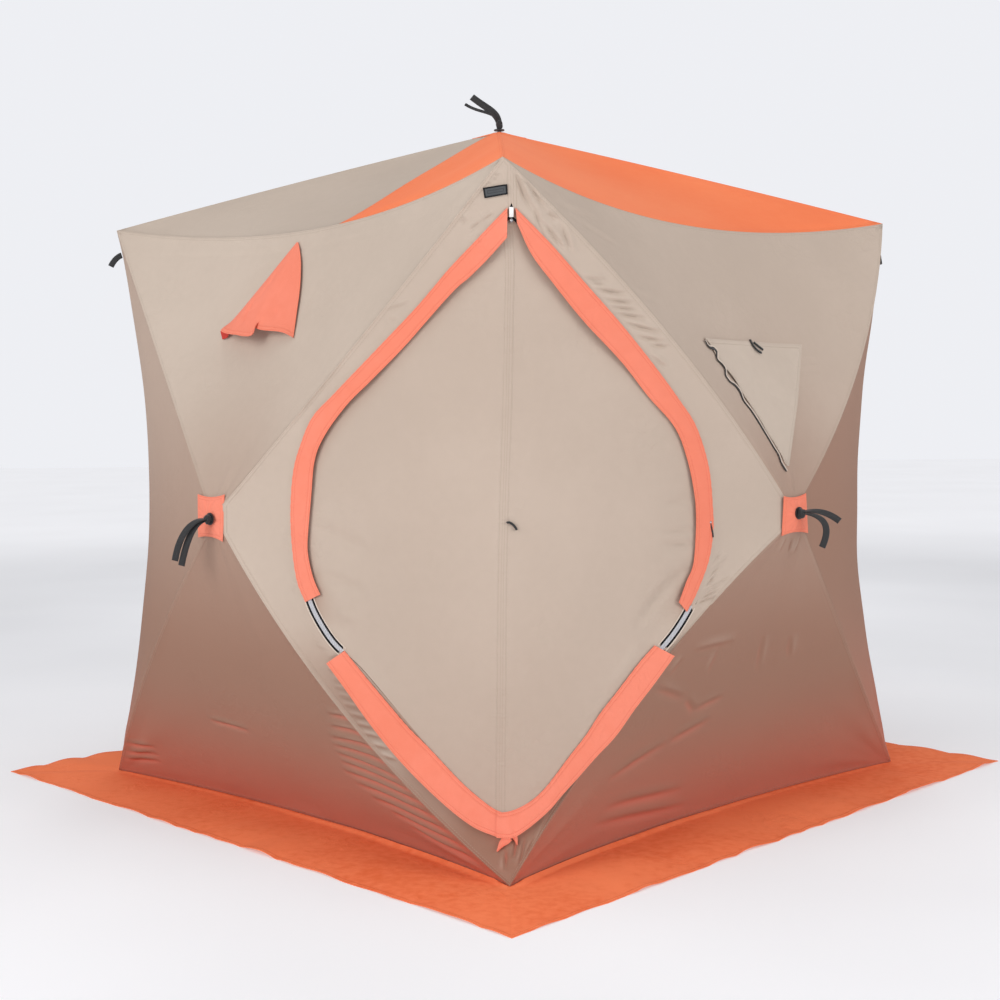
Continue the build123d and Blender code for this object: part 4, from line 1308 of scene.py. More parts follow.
class DoorSet(Group):
    """Door surround, door panel, zip, storm flaps, patch and tie on the near corner."""

    # Leaning seam in the middle of the door: height and x
    centre_seam = ((0.114, -0.010), (0.743, 0.001), (0.947, 0.008), (1.159, 0.017), (1.513, 0.027),
                   (1.66, 0.022))
    tape_cover = 0.0118
    tape_middle = 0.012

    def __init__(self, palette: Palette) -> None:
        super().__init__(palette)
        self.skin = FrontSkin()
        self.outlines = {True: DoorOutline(1), False: DoorOutline(-1)}
        self.outlines[False].slip(0.61, 0.0145)
        self.outlines[True].slip(0.61, 0.0025)

    def build(self) -> None:
        """Makes every piece of the door corner."""
        self._surround()
        self._panel()
        self._zip()
        for name in FLAPS:
            self._flap(name)
        self._tails()
        self._patch()
        self._slider()
        self._tie()

    def _bare(self, right: bool) -> tuple[float, float]:
        """Span along the outline where the zip shows between the flaps, a little under them at both ends."""
        outline = self.outlines[right]
        top, above, low, below = (0.641, 0.002, 0.544, 0.010) if right else (0.682, 0.010, 0.540, 0.006)
        return outline.at_height(top) - above, outline.at_height(low) + below

    def _cover(self, right: bool, s: Array) -> Array:
        """How far the cloth on each side of the zip reaches over its tape: none where the zip is bare."""
        start, stop = self._bare(right)
        bare = clamp((s - start) / 0.006) * clamp((stop - s) / 0.006)
        return self.tape_cover * (1 - bare) * clamp(np.minimum(s, self.outlines[right].length - s) / 0.03)

    def _seam_x(self, z: Array) -> Array:
        """Place of the leaning centre seam at a height."""
        return np.interp(z, *zip(*self.centre_seam))

    @staticmethod
    def _glow(z: Array, low: float, high: float) -> Array:
        """Painted warm shade and painted red-orange bounce light that grow towards the ground."""
        return low + (high - low) * clamp((0.78 - z) / 0.70) ** 1.6

    def _surround(self) -> None:
        """Ring between the door's outline and the corner panel's seams."""
        per, depth = GRIDS.surround
        outer, inner = [], []
        for right, wall, dense in ((True, Wall.FRONT_RIGHT, SURROUND_DENSE_RIGHT),
                                   (False, Wall.FRONT_LEFT, SURROUND_DENSE_LEFT)):
            outline = self.outlines[right]
            middle = outline.length * 0.5
            seams, sides = [], []
            for part, edge, start, stop in zip(dense, ("top_door", "low_door"), (0.0, middle),
                                               (middle, outline.length)):
                t = uneven(per, part)
                seams.append(curve_at(Seams.pole(wall, edge), 1 - t if start == 0.0 else t))
                s = start + t * (stop - start)
                sides.append(np.stack(outline.side(s, self._cover(right, s)), 1))
            for ring, halves in ((outer, seams), (inner, sides)):
                ring.append(np.concatenate(halves)[:: 1 if right else -1])
        outer, inner = np.concatenate(outer), np.concatenate(inner)
        w = np.linspace(0, 1, depth)[None, :]
        xs = inner[:, :1] * (1 - w) + outer[:, :1] * w
        zs = inner[:, 1:] * (1 - w) + outer[:, 2:] * w
        points, normals = self.skin.at(xs, zs)
        points[:, -1] = outer
        gap = np.linalg.norm(outer[:, [0, 2]] - inner, axis=1)[:, None]
        puckers = [fold for lines, *sizes in SURROUND_FOLDS for fold in grooves(lines, *sizes)]
        puckers += [Swell(71, 0.0016, 0.12), Swell(72, 0.003, 0.35)]
        edge = clamp((1 - w) / 0.12) * clamp((gap * w - 0.012) / 0.02)
        lift = total_lift(puckers, xs, zs) * edge + LAYERS.surround_rim * bell(gap * w, 0.02)
        points = points + normals * lift[..., None]
        # Painted shade on the lower part: a shadow along the door's edge under the lower flaps, and darker
        # hollows and lighter ridges of the folds
        low_part = clamp((0.60 - zs) / 0.30)
        under = clamp(1 - gap * w / 0.07) * 0.14 * low_part - np.clip(lift / 0.004, -1, 1) * 0.2 * low_part
        middle_seam = np.abs(xs - self._seam_x(zs)) + np.where(zs > 1.6, 0.0, 1.0)
        fields = {"seam_d": np.minimum(gap * (1 - w), middle_seam), "seam_s": zs[:, :1],
                  "glow": np.maximum(self._glow(zs, 0.10, 0.50) + under, 0), "uv": (xs, zs)}
        cloth = Cloth("cloth_door_surround", self.palette.beige, ["door_surround"], "beige_cloth")
        cloth.build(points, normals, fields, closed=True)

    def _panel(self) -> None:
        """Door cloth inside the zip, mapped from a square whose corners are the kite's."""
        inset = PLAN.zip_width + 0.001
        t = np.linspace(0, 1, GRIDS.door)
        top = np.array([PLAN.door_top_shift, PLAN.door_top - inset * 1.45])
        low = np.array([PLAN.door_low_shift, PLAN.door_bottom + inset * 1.35])
        edges = {}
        for right, outline in self.outlines.items():
            half, sign, pair = outline.length * 0.5, 1 if right else -1, []
            for start, end in ((0.0, top), (half, low)):
                s = start + t * half
                line = np.stack(outline.side(s, inset - self._cover(right, s)), 1)
                line[:, 0] = sign * np.maximum(sign * (line[:, 0] - end[0]), 0) + end[0]
                pair.append(line)
            pair[0][0], pair[1][-1] = top, low
            edges[right] = pair
        # The square's edges: b = 0 is top right, b = 1 low left, a = 0 top left, a = 1 low right
        a, b = t[:, None, None], t[None, :, None]
        sides = (edges[True][0][:, None] * (1 - b) + edges[False][1][:, None] * b
                 + edges[False][0][None] * (1 - a) + edges[True][1][None] * a)
        corners = ((1 - a) * (1 - b) * top + a * (1 - b) * edges[True][0][-1]
                   + (1 - a) * b * edges[False][0][-1] + a * b * low)
        x, z = np.moveaxis(sides - corners, -1, 0)
        rim = np.minimum(np.minimum(a, 1 - a), np.minimum(b, 1 - b))[..., 0]
        folds = [crease(*fold) for fold in DOOR_FOLDS] + [Swell(81, 0.0030, 0.30), Swell(82, 0.0010, 0.12)]
        lift = total_lift(folds, x, z) * clamp((rim - 0.018) / 0.03) + LAYERS.door_rim * bell(rim, 0.03, 4)
        points, normals = self.skin.at(x, z, lift)
        # Painted red shadow and light through the upper flaps, along the door's edge above the middle height
        near = clamp(1 - rim / 0.10) ** 2 * clamp((z - 0.60) / 0.15)
        # The seam's distance keeps its sign, so that it changes evenly over coarse faces
        fields = {"seam_d": x - self._seam_x(z) + 0.0115, "seam_s": z,
                  "glow": self._glow(z, 0.12, 0.20) + 0.46 * near, "uv": (x, z)}
        cloth = Cloth("cloth_door_panel", self.palette.beige, ["door_panel"], "beige_cloth")
        cloth.build(points, normals, fields)

    def _band(self, s: Array, r: Array, right: bool, lift: Array | float) -> tuple[Array, Array]:
        """Points of a band along the outline, r in from it and lifted off the skin."""
        return self.skin.at(*self.outlines[right].side(s, r), lift)

    def _zip(self) -> None:
        """Zip tapes round the door, with teeth and pale bound edges."""
        r = np.array([0.0, 0.006, 0.012, 0.018, PLAN.zip_width])
        sides = []
        for right in (True, False):
            s = np.linspace(0.003, self.outlines[right].length - 0.003, GRIDS.tape)
            grids = self._band(*np.meshgrid(s, r, indexing="ij"), right, LAYERS.tape)
            sides.append([grid[:: 1 if right else -1] for grid in grids])
        points, normals = (np.concatenate(grids) for grids in zip(*sides))
        fields = {"seam_d": np.abs(r - self.tape_middle) + NO_STITCH, "seam_s": points @ UP,
                  "uv": (points[..., 0], points[..., 2])}
        tape = Cloth("zip_tapes", self.palette.tape, ["door_zip"], "zip_tape", thick=0.001)
        tape.build(points, normals, fields, closed=True)
        bands = (("chain", (0.0065, 0.0175), LAYERS.chain, self.palette.chain),
                 ("hem_outer", (-0.0022, 0.0006), LAYERS.hem, self.palette.piping),
                 ("hem_inner", (0.0236, 0.0262), LAYERS.hem, self.palette.piping))
        rows, cols = GRIDS.ribbon
        crown = 0.0006 * np.sin(math.pi * np.linspace(0, 1, cols))[None, :]
        for right, side in ((True, "right"), (False, "left")):
            span = self._bare(right)
            for name, band, lift, material in bands:
                ss, rr = np.meshgrid(np.linspace(*span, rows), np.linspace(*band, cols), indexing="ij")
                grid, out = self._band(ss, rr, right, lift + crown)
                obj, _, _ = make_sheet(f"zip_{name}_{side}", grid, out, material, {"uv": (ss, rr)}, 0.0012)
            self._teeth(side, right, span)

    def _teeth(self, side: str, right: bool, span: tuple[float, float]) -> None:
        """Two meshed rows of small teeth where the zip shows between the flaps."""
        steps = np.arange(span[0], span[1], 0.0032)
        r = self.tape_middle + np.where(np.arange(len(steps)) % 2, 0.0022, -0.0022)
        spot, out = self._band(steps, r, right, LAYERS.teeth)
        along = unit(self._band(steps + 0.002, r, right, LAYERS.teeth)[0] - spot)
        base = np.array([[-1, -1, 0], [1, -1, 0], [1, 1, 0], [-1, 1, 0]], float)
        box = np.concatenate([base, base * 0.8 + UP]) * np.array([0.0013, 0.0034, 0.0014])
        axes = np.stack([along, np.cross(out, along), out], 1)
        points = spot[:, None] + sum(box[None, :, k, None] * axes[:, k, None] for k in range(3))
        quads = np.array([[0, 3, 2, 1], [4, 5, 6, 7], [0, 1, 5, 4], [1, 2, 6, 5], [2, 3, 7, 6], [3, 0, 4, 7]])
        faces = (quads[None] + 8 * np.arange(len(steps))[:, None, None]).reshape(-1, 4)
        obj = make_object("zip_teeth_" + side, points.reshape(-1, 3), faces, self.palette.teeth, smooth=False)

    def _flap(self, name: str) -> None:
        """Storm flap: sewn along one edge, the other edge stands off in slow waves."""
        rows, cols = GRIDS.flap
        sewn, free = (smooth_path(np.array(line) / 1000, rows) for line in FLAPS[name])
        w = np.linspace(0, 1, cols)
        flat = sewn[:, None] * (1 - w[:, None]) + free[:, None] * w[:, None]
        run = np.linspace(0, 1, rows)[:, None] * np.linalg.norm(np.diff(sewn, axis=0), axis=1).sum()
        phases = np.random.default_rng(len(name) * 7 + ord(name[0])).uniform(0, 6, 4)
        base = 0.0066 if name.startswith("upper") else 0.0062
        stand = base + 0.0026 * np.sin(run * 9 + phases[0]) + 0.0014 * np.sin(run * 23 + phases[1])
        pucker = 0.0007 * np.sin(run * 2 * math.pi / 0.021 + 2 * np.sin(run * 31)) * bell(w, 0.16)
        drag = 0.0010 * np.sin(run * 2 * math.pi / 0.075 + w * 2.6 + phases[3]) * np.sin(math.pi * w)
        lift = LAYERS.flap + stand * w**1.3 + 0.0020 * bell(w - 0.55, 0.3) + pucker + drag
        if name == "lower_right":  # its end lies over the other lower flap
            lift = lift + LAYERS.flap_over * clamp((run - run.max() + 0.05) / 0.03)
        points, normals = self.skin.at(flat[..., 0], flat[..., 1], lift)
        width = np.linalg.norm(free - sewn, axis=1)[:, None]
        fields = {"seam_d": np.minimum(w, 1 - w) * width, "seam_s": run, "uv": (run, w * width)}
        Cloth("flap_" + name, self.palette.orange, ["door_flap_" + name], "orange_cloth", "hung", 0.0018,
              ["cloth_door_surround"]).build(points, normals, fields)

    def _tails(self) -> None:
        """Two small pointed ends of cloth where the lower flaps meet, and the pale tape end at the top."""
        rows, cols = GRIDS.tail
        w = np.linspace(-1, 1, cols)
        for name, line, wide in FLAP_TAILS:
            path = smooth_path(line, rows)
            taper = np.linspace(1, 0.12, rows)[:, None, None]
            flat = path[:, None] + beside(path)[:, None] * w[None, :, None] * wide * taper
            lift = LAYERS.tail - 0.003 * w[None, :] ** 2 - np.linspace(0, 0.005, rows)[:, None]
            points, normals = self.skin.at(flat[..., 0], flat[..., 1], lift)
            fields = {"seam_d": (1 - np.abs(w)) * wide + NO_STITCH, "seam_s": flat[..., 1],
                      "uv": (flat[..., 0], flat[..., 1])}
            obj, _, _ = make_sheet("flap_tail_" + name, points, normals, self.palette.orange, fields,
                                   SHEET_THICK)
        line, normals = self.skin.at([0.0195, 0.0190, 0.0190, 0.0190], [1.648, 1.641, 1.634, 1.625],
                                     [0.004, 0.0065, 0.0065, 0.004])
        make_strip("zip_top_end", line, normals, 0.011, 0.002, self.palette.white, [])
        self._stud("zip_top_stop", 0.0190, 1.6165, 0.004)

    def _stud(self, name: str, x: float, z: float, lift: float) -> None:
        """Small metal dome on the skin."""
        spot, normal = self.skin.at([x], [z], lift)
        dome(name, spot[0], normal[0], 0.0055, 0.004, self.palette.metal)

    def _patch(self) -> None:
        """Plain dark patch above the door, with a slightly raised border."""
        f, g = square(*GRIDS.dark_patch)
        flat = bilinear(((-0.0440, 1.6702), (0.0110, 1.6775), (0.0100, 1.7010), (-0.0480, 1.6945)), f, g)
        x, z = flat[..., 0], flat[..., 1]
        d = np.minimum(np.minimum(f, 1 - f) * 0.024, np.minimum(g, 1 - g) * 0.056)
        points, normals = self.skin.at(x, z, LAYERS.dark_patch + 0.0010 * clamp((0.0030 - d) / 0.0008))
        fields = {"seam_d": d + 0.001, "seam_s": x + z, "uv": (x, z), "glow": clamp((0.0034 - d) / 0.0006)}
        Cloth("dark_patch", self.palette.dark, ["label_patch"], "dark_patch", "laid", FINE_THICK,
              ["cloth_door_surround"]).build(points, normals, fields)

    def _slider(self) -> None:
        """Metal slider with its pull, resting on the right upper flap."""
        self._stud("zip_slider", 0.534, 0.864, LAYERS.slider)
        line, normals = self.skin.at([0.534, 0.536, 0.540, 0.541], [0.862, 0.848, 0.836, 0.824],
                                     [0.0060, 0.0080, 0.0070, 0.0065])
        make_strip("zip_pull", line, normals, 0.004, 0.0018, self.palette.webbing, [], GRIDS.short_strap)

    def _tie(self) -> None:
        """Small dark tie at the middle of the door."""
        line, normals = self.skin.at([0.002, 0.006, 0.013, 0.019, 0.024, 0.026],
                                     [0.880, 0.884, 0.880, 0.876, 0.868, 0.862], LAYERS.tie)
        make_strip("door_tie", line, normals, 0.006, 0.003, self.palette.webbing, [])


def dome(name: str, centre: Array, axis: Array, radius: float, height: float,
         material: Material) -> None:
    """Small closed dome: a flat disc whose upper side rises to a rounded crown."""
    rows, cols = GRIDS.dome
    side = unit(np.cross(axis, np.array([0.3, 0.2, 1.0])))
    u = np.concatenate([np.linspace(0, 1, rows), [1.0]])
    rise = np.concatenate([np.cos(u[:-1] * math.pi / 2), [-0.35]]) * height
    v = np.linspace(0, 2 * math.pi, cols, endpoint=False)
    ring = np.cos(v)[None, :, None] * side + np.sin(v)[None, :, None] * np.cross(axis, side)
    points = centre + ring * (u * radius)[:, None, None] + axis * rise[:, None, None]
    flat = np.concatenate([points.reshape(-1, 3), [centre + axis * rise[-1]]])
    quads = wound(flat, grid_quads(len(u), cols, ring=True), unit(flat - centre + axis * 1e-6))
    last, k = (len(u) - 1) * cols, np.arange(0, cols, 2)
    floor = np.stack([np.full(len(k), len(flat) - 1), last + k, last + (k + 1) % cols,
                      last + (k + 2) % cols], 1)
    floor = wound(flat, floor, np.tile(-axis, (len(flat), 1)))
    make_object(name, flat, np.concatenate([quads, floor]), material)


def make_strip(name: str, line: Array, face: Array, width: float, thick: float, material: Material,
               nodes: Sequence[str], samples: int = GRIDS.strap) -> None:
    """Flat strap with rounded edges along a smooth line.

    Args:
        line: control points. face: direction that the strap's broad side faces at each of them.
        width, thick: its section. nodes: CAD nodes it stands for.
    """
    t = np.linspace(0, 1, samples)
    centre, out = curve_at(line, t), unit(curve_at(face, t))
    ahead = unit(np.gradient(centre, axis=0))
    across = unit(np.cross(ahead, out))
    out = unit(np.cross(across, ahead))
    section = ((-1, -.25), (-.9, -1), (.9, -1), (1, -.25), (1, .25), (.9, 1), (-.9, 1), (-1, .25))
    ring = np.array(section) * np.array([width / 2, thick / 2])
    points = centre[:, None] + ring[None, :, :1] * across[:, None] + ring[None, :, 1:] * out[:, None]
    cols = len(ring)
    quads = grid_quads(samples, cols, ring=True)[:, [0, 3, 2, 1]]
    cap = np.array([(0, 1, 2, 3), (0, 3, 4, 7), (7, 4, 5, 6)])
    faces = np.concatenate([quads, cap[:, ::-1], cap + (samples - 1) * cols])
    uv = np.stack([np.repeat(path_run(centre), cols), np.tile(ring[:, 0], samples)], 1)
    flat = points.reshape(-1, 3)
    middle = flat[quads].mean(1) - np.repeat(centre[:-1], cols, 0)
    a, b, c = (flat[quads[:, k]] for k in (0, 1, 2))
    if np.einsum("ij,ij->i", np.cross(b - a, c - a), middle).sum() < 0:
        faces = faces[:, ::-1]
    obj = make_object(name, flat, faces, material, {"uv": uv})
    if nodes:
        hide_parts(*nodes)


class Roof(Group):
    """Four roof panels, two of them in two colours."""

    def build(self) -> None:
        """Makes the panels and the accents, which meet on a line from the hub to the eave."""
        split = 1 - PLAN.split_share
        for seed, wall in enumerate(Wall):
            door = wall.door_corner.name.lower()
            main = ("roof_panel_" + wall.label, "cloth_roof_" + wall.label)
            accent = ("roof_accent_" + door, "cloth_roof_accent_" + door)
            if wall.has_window:
                self._part(wall, seed, *main, self.palette.roof, "orange_cloth", GRIDS.roof, (0.0, 1.0))
            else:
                self._part(wall, seed, *main, self.palette.beige, "beige_cloth", GRIDS.roof_part,
                           (0.0, split))
                self._part(wall, seed, *accent, self.palette.roof, "orange_cloth", GRIDS.roof_part,
                           (split, 1.0))

    @staticmethod
    def _part(wall: Wall, seed: int, node: str, name: str, material: Material, slot: str,
              grid: tuple[int, int], span: tuple[float, float]) -> None:
        Panel(Cloth(name, material, [node], slot), Seams.roof(wall), wall.along, wall.normal,
              [Swell(91 + seed, 0.003, 0.3)], *grid, span=span).build()


class Skirt(Group):
    """Ground skirt: four lengths that lie flat and ripple a little at the outer edge."""

    width = 0.26

    def build(self) -> None:
        """Makes the four lengths."""
        for seed, wall in enumerate(Wall):
            self._length(seed, wall)

    def _length(self, seed: int, wall: Wall) -> None:
        rows, cols = GRIDS.skirt[wall.in_view]
        t = np.linspace(0, 1, rows)
        inner = curve_at(Seams.hem(wall), t) * [1, 1, 0] - wall.normal * 0.010
        pair = (wall.far_corner, wall.door_corner)
        inner[0], inner[-1] = (c.axis * (PLAN.base_radius - 0.016) for c in pair)
        a, b = (c.axis * PLAN.skirt_reach for c in pair)
        w = np.concatenate([np.linspace(0, 0.17, 10), np.linspace(0.2, 1, cols - 10)])[None, :]
        points = inner[:, None] * (1 - w[..., None]) + (a + (b - a) * t[:, None])[:, None] * w[..., None]
        along, out = points @ wall.along, points @ wall.normal
        ripple = Swell(101 + seed, 0.0045, 0.11).lift(along, out * 0.3)
        soft = Swell(111 + seed, 0.004, 0.3).lift(along, out)
        ends = clamp(np.minimum(t, 1 - t) / 0.04)[:, None]
        lift = (np.abs(ripple) * w**1.5 + np.abs(soft) * np.sin(math.pi * w)) * ends
        share = (0.35 + 0.65 * clamp((t - 0.35) / 0.3))[:, None] * ends
        lip = 0.009 * share * bell(w * self.width - 0.019, 0.008)
        points = points + UP * (LAYERS.skirt + lift + lip)[..., None]
        edge = Swell(121 + seed, 0.004, 0.10).lift(along[:, -1], out[:, -1]) * ends[:, 0]
        points[:, -1] -= wall.normal * np.abs(edge)[:, None]
        fields = {"seam_d": (1 - w) * 0.25, "seam_s": along, "uv": (along, out)}
        Cloth("cloth_skirt_" + wall.label, self.palette.skirt, ["skirt_" + wall.label], "skirt_cloth",
              "laid").build(points, UP, fields)


# Vent hood on its wall: part along the wall, height and stand-off
HOOD_LEFT = ((-.0117, 1.6555, .003), (-.0600, 1.5925, .006), (-.1070, 1.5310, .008), (-.1620, 1.4620, .009),
             (-.2120, 1.4040, .008))
HOOD_RIGHT = ((-.0117, 1.6555, .003), (.0130, 1.6260, .004), (.0400, 1.5880, .006), (.0740, 1.5180, .006),
              (.0990, 1.4420, .005), (.1212, 1.3676, .003))
HOOD_EDGE = ((-.2120, 1.4040, .008), (-.2020, 1.4060, .026), (-.1750, 1.3990, .040), (-.1450, 1.3925, .048),
             (-.1150, 1.3880, .053), (-.0850, 1.3850, .056), (-.0550, 1.3800, .058), (-.0250, 1.3770, .060),
             (-.0090, 1.3775, .060), (-.0030, 1.3830, .055), (-.0150, 1.3900, .050), (-.0260, 1.3980, .046),
             (-.0240, 1.4020, .042), (-.0020, 1.3960, .041), (.0250, 1.3920, .038), (.0550, 1.3890, .031),
             (.0840, 1.3844, .022), (.1050, 1.3760, .012), (.1212, 1.3676, .003))
HOOD_CREASES = ((-.020, 1.610, -.065, 1.480), (-.150, 1.440, -.125, 1.410), (-.095, 1.470, -.080, 1.410),
                (-.100, 1.440, -.080, 1.500), (.020, 1.455, .045, 1.425))
# Both prongs of the window's toggle, part along the wall and height
TOGGLE = (((-.003, 1.352), (-.005, 1.334), (.002, 1.320), (.020, 1.313)),
          ((.010, 1.345), (.017, 1.336), (.034, 1.322)))
# Free edge of the window cover with its zip, from the upper corner down
WINDOW_ZIP = ((-.249, 1.340), (-.239, 1.324), (-.214, 1.319), (-.207, 1.311), (-.219, 1.291), (-.201, 1.278),
              (-.194, 1.265), (-.204, 1.248), (-.193, 1.232), (-.168, 1.221), (-.154, 1.205), (-.152, 1.186),
              (-.146, 1.175), (-.126, 1.156), (-.107, 1.131), (-.089, 1.104), (-.067, 1.072), (-.057, 1.057),
              (-.040, 1.034), (-.034, 1.012), (-.017, .989))
# Where that zip bulges: added width, place from 0 to 1 and reach
WINDOW_ZIP_KNOTS = ((0.0058, 0.09, 0.04), (0.0028, 0.42, 0.06), (0.0024, 0.66, 0.10), (0.0016, 0.98, 0.03))


class WallFittings(Group):
    """Window flap and pane, vent hood and mesh of each wall."""

    def build(self) -> None:
        """Makes the fittings of the four walls."""
        for wall in Wall:
            if wall.has_window:
                self._window(wall)
            else:
                self._hood(wall)
        for windows in (True, False):
            for wall in (w for w in Wall if w.has_window is windows):
                self._infill(wall)

    @staticmethod
    def _triangle(half: float, base: float, apex: float, rows: int) -> tuple[Array, Array]:
        """Places in a triangle, rows from the base to the apex and as many across."""
        w, t = np.meshgrid(np.linspace(0, 0.985, rows), np.linspace(-1, 1, rows), indexing="ij")
        return t * half * (1 - w), base + (apex - base) * w

    @staticmethod
    def _on(wall: Wall, a: Array, b: Array, lift: Array | float = 0.0) -> tuple[Array, Array]:
        """Points over the upper panel of a wall at places a, b, and the panel's normals."""
        patch = Seams.upper(wall)
        u, v = patch.find(wall.along, UP, a, b)
        normals = patch.normals(u, v)
        return patch.at(u, v) + normals * np.broadcast_to(lift, np.shape(a))[..., None], normals

    def _window(self, wall: Wall) -> None:
        """Window cover with its zip, pale lip and toggle."""
        rows = GRIDS.window
        a, b = self._triangle(*wall.opening, rows)
        w, t = np.meshgrid(np.linspace(0, 1, rows), np.linspace(-1, 1, rows), indexing="ij")
        edge = clamp((t + 1) / 0.06)
        gap = 0.0016 * (1 - edge) * (0.6 + 0.4 * np.sin(w * 30)) * (w < 0.97)
        lift = LAYERS.cover + gap + np.abs(Swell(131, 0.002, 0.09).lift(a, b))
        a = a + 0.004 * (1 - edge) * np.sin(w * 24)
        points, normals = self._on(wall, a, b, lift)
        fields = edge_fields(points) | {"uv": (a, b)}
        fields["seam_d"] = np.minimum(fields["seam_d"], np.linspace(0, 0.3, rows)[:, None])
        cloth = Cloth("window_cover_" + wall.label, self.palette.beige, ["window_flap_" + wall.label],
                      "beige_cloth", "hung", FINE_THICK, ["cloth_upper_" + wall.label])
        cloth.build(points, normals, fields)
        line = smooth_path(WINDOW_ZIP, GRIDS.window_zip[0])
        k = np.linspace(0, 1, len(line))
        wide = 0.0028 + sum(gain * bell(k - place, reach) for gain, place, reach in WINDOW_ZIP_KNOTS)
        lip = line + beside(line) * (wide / 2 + 0.0012)[:, None]
        self._edge_line("window_zip_" + wall.label, wall, line, wide, LAYERS.window_zip, self.palette.webbing,
                        "webbing")
        self._edge_line("window_lip_" + wall.label, wall, lip, np.full(len(line), 0.0034), LAYERS.window_lip,
                        self.palette.piping, "beige_cloth")
        for number, prong in enumerate(TOGGLE):
            line, face = self._on(wall, *np.array(prong).T, np.linspace(0.005, 0.010, len(prong)))
            make_strip(f"window_toggle_{number}_{wall.label}", line, face, 0.006, 0.003,
                       self.palette.webbing, [], GRIDS.short_strap)

    def _edge_line(self, name: str, wall: Wall, line: Array, wide: Array, lift: float,
                   material: Material, slot: str) -> None:
        """Thin raised band of changing width along a line on the wall."""
        w = np.linspace(-0.5, 0.5, GRIDS.window_zip[1])
        flat = line[:, None] + beside(line)[:, None] * (w[None, :, None] * wide[:, None, None])
        a, b = flat[..., 0], flat[..., 1]
        points, normals = self._on(wall, a, b, lift + 0.0008 * (1 - (2 * w) ** 2))
        obj, _, _ = make_sheet(name, points, normals, material, {"uv": (a, b)}, FINE_THICK)

    def _hood(self, wall: Wall) -> None:
        """Vent hood: sewn along both slanting edges, its notched lower edge stands off the wall."""
        rows, cols = GRIDS.hood
        edge = smooth_path(HOOD_EDGE, cols)
        even = np.linspace(0, 1, cols)[:, None]
        # The lower edge without its notch: a moving mean whose ends are brought back
        padded = np.concatenate([np.repeat(edge[:1], 15, 0), edge, np.repeat(edge[-1:], 15, 0)])
        low = np.stack([np.convolve(padded[:, k], np.ones(31) / 31, "valid") for k in range(3)], 1)
        low += (edge[0] - low[0]) * (1 - even) ** 6 + (edge[-1] - low[-1]) * even**6
        left, right = smooth_path(HOOD_LEFT, rows), smooth_path(HOOD_RIGHT, rows)
        r, c = np.linspace(0.02, 1, rows)[:, None, None], np.linspace(0, 1, cols)[None, :, None]
        tip, down = left[0], np.linspace(0, 1, rows)[:, None]
        slack = [(line - (tip + (end - tip) * down))[:, None]
                 for line, end in ((left, low[0]), (right, low[-1]))]
        body = tip + (low[None] - tip) * r + (edge - low)[None] * bell(1 - r, 0.075)
        body = body + slack[0] * (1 - c) ** 2 + slack[1] * c**2
        a, b, out = np.moveaxis(body, -1, 0)
        dents = total_lift([Swell(141, 0.0016, 0.07)] + grooves(HOOD_CREASES, 0.008, 0.006, 0.013), a, b)
        free = np.sin(math.pi * c[..., 0]) ** 0.5 * r[..., 0]
        points = self._on(wall, a, b)[0] + wall.normal * (out + dents * free + LAYERS.hood)[..., None]
        fields = edge_fields(points) | {"seam_d": (1 - r[..., 0]) * 0.27, "uv": (a, b), "glow": 0.0}
        Cloth("hood_" + wall.label, self.palette.orange, ["vent_hood_" + wall.label], "orange_cloth", "hung",
              SHEET_THICK, ["cloth_upper_" + wall.label]).build(points, unit(wall.normal + UP * 0.3), fields)
        # Small folded end of cloth between the hood's left corner and the wall, coloured all over in a
        # painted dark red shadow
        flat = bilinear(((-0.2150, 1.4040, 0.018), (-0.1650, 1.3950, 0.022), (-0.1880, 1.3820, 0.008),
                         (-0.2080, 1.3790, 0.006)), *square(*GRIDS.gusset))
        a, b, out = np.moveaxis(flat, -1, 0)
        points = self._on(wall, a, b)[0] + wall.normal * out[..., None]
        fields = {"seam_d": 0.05, "seam_s": a, "uv": (a, b), "glow": 1.0}
        obj, _, _ = make_sheet("hood_gusset_" + wall.label, points, wall.normal, self.palette.orange, fields,
                               FINE_THICK)

    def _infill(self, wall: Wall) -> None:
        """Film or mesh that fills an opening, behind its cover."""
        name, material, node, slot = (("window_film", self.palette.film, "window_panes", "window_film")
                                      if wall.has_window else
                                      ("vent_mesh", self.palette.mesh, "vent_meshes", "mesh_cloth"))
        half, base, apex = wall.opening
        inset = wall.hem_width - 0.001
        rise, turn = abs(apex - base), 1 if apex > base else -1
        apex_in = inset * math.hypot(half, rise) / half
        half = half * (rise - apex_in - inset) / rise
        a, b = self._triangle(half + 0.012, base + turn * (inset - 0.008), apex - turn * (apex_in - 0.02),
                              GRIDS.infill)
        points, normals = self._on(wall, a, b, LAYERS.infill)
        Cloth(name + "_" + wall.label, material, [node], slot, "stretched",
              0.0006).build(points, normals, edge_fields(points) | {"uv": (a, b)})


# Corners of the hub patches, part along the wall and height, clockwise from the upper left
PATCH_VENT = ((-.080, .941), (.041, .943), (.040, .815), (-.076, .822))
PATCH_WINDOW = ((-.057, .924), (.052, .928), (.066, .817), (-.058, .816))
# Both tails of a wall's pull strap, in millimetres from the hub: along the wall, out and up
TAILS_VENT = (((0, 9, 0), (0, 60, 6), (-30, 80, -40), (-60, 75, -112)),
              ((0, 6, -3), (0, 50, 0), (-20, 62, -50), (-52, 60, -126)))
TAILS_WINDOW = (((0, 9, 0), (10, 70, -2), (40, 80, -30), (20, 60, -92)),
                ((0, 6, 3), (20, 50, 14), (50, 70, -4), (60, 90, -22)))
# The roof strap's wide and thin tail, in millimetres from its foot
TAILS_ROOF = (("wide", 0.023, ["roof_pull_strap"], ((0, 0, 20), (-4, 0, 60), (-40, 0, 70), (-87, 0, 108))),
              ("thin", 0.010, [], ((0, 0, 20), (-10, -4, 66), (-60, -8, 50), (-109, -6, 84))))
STRAP_THICK = 0.0022


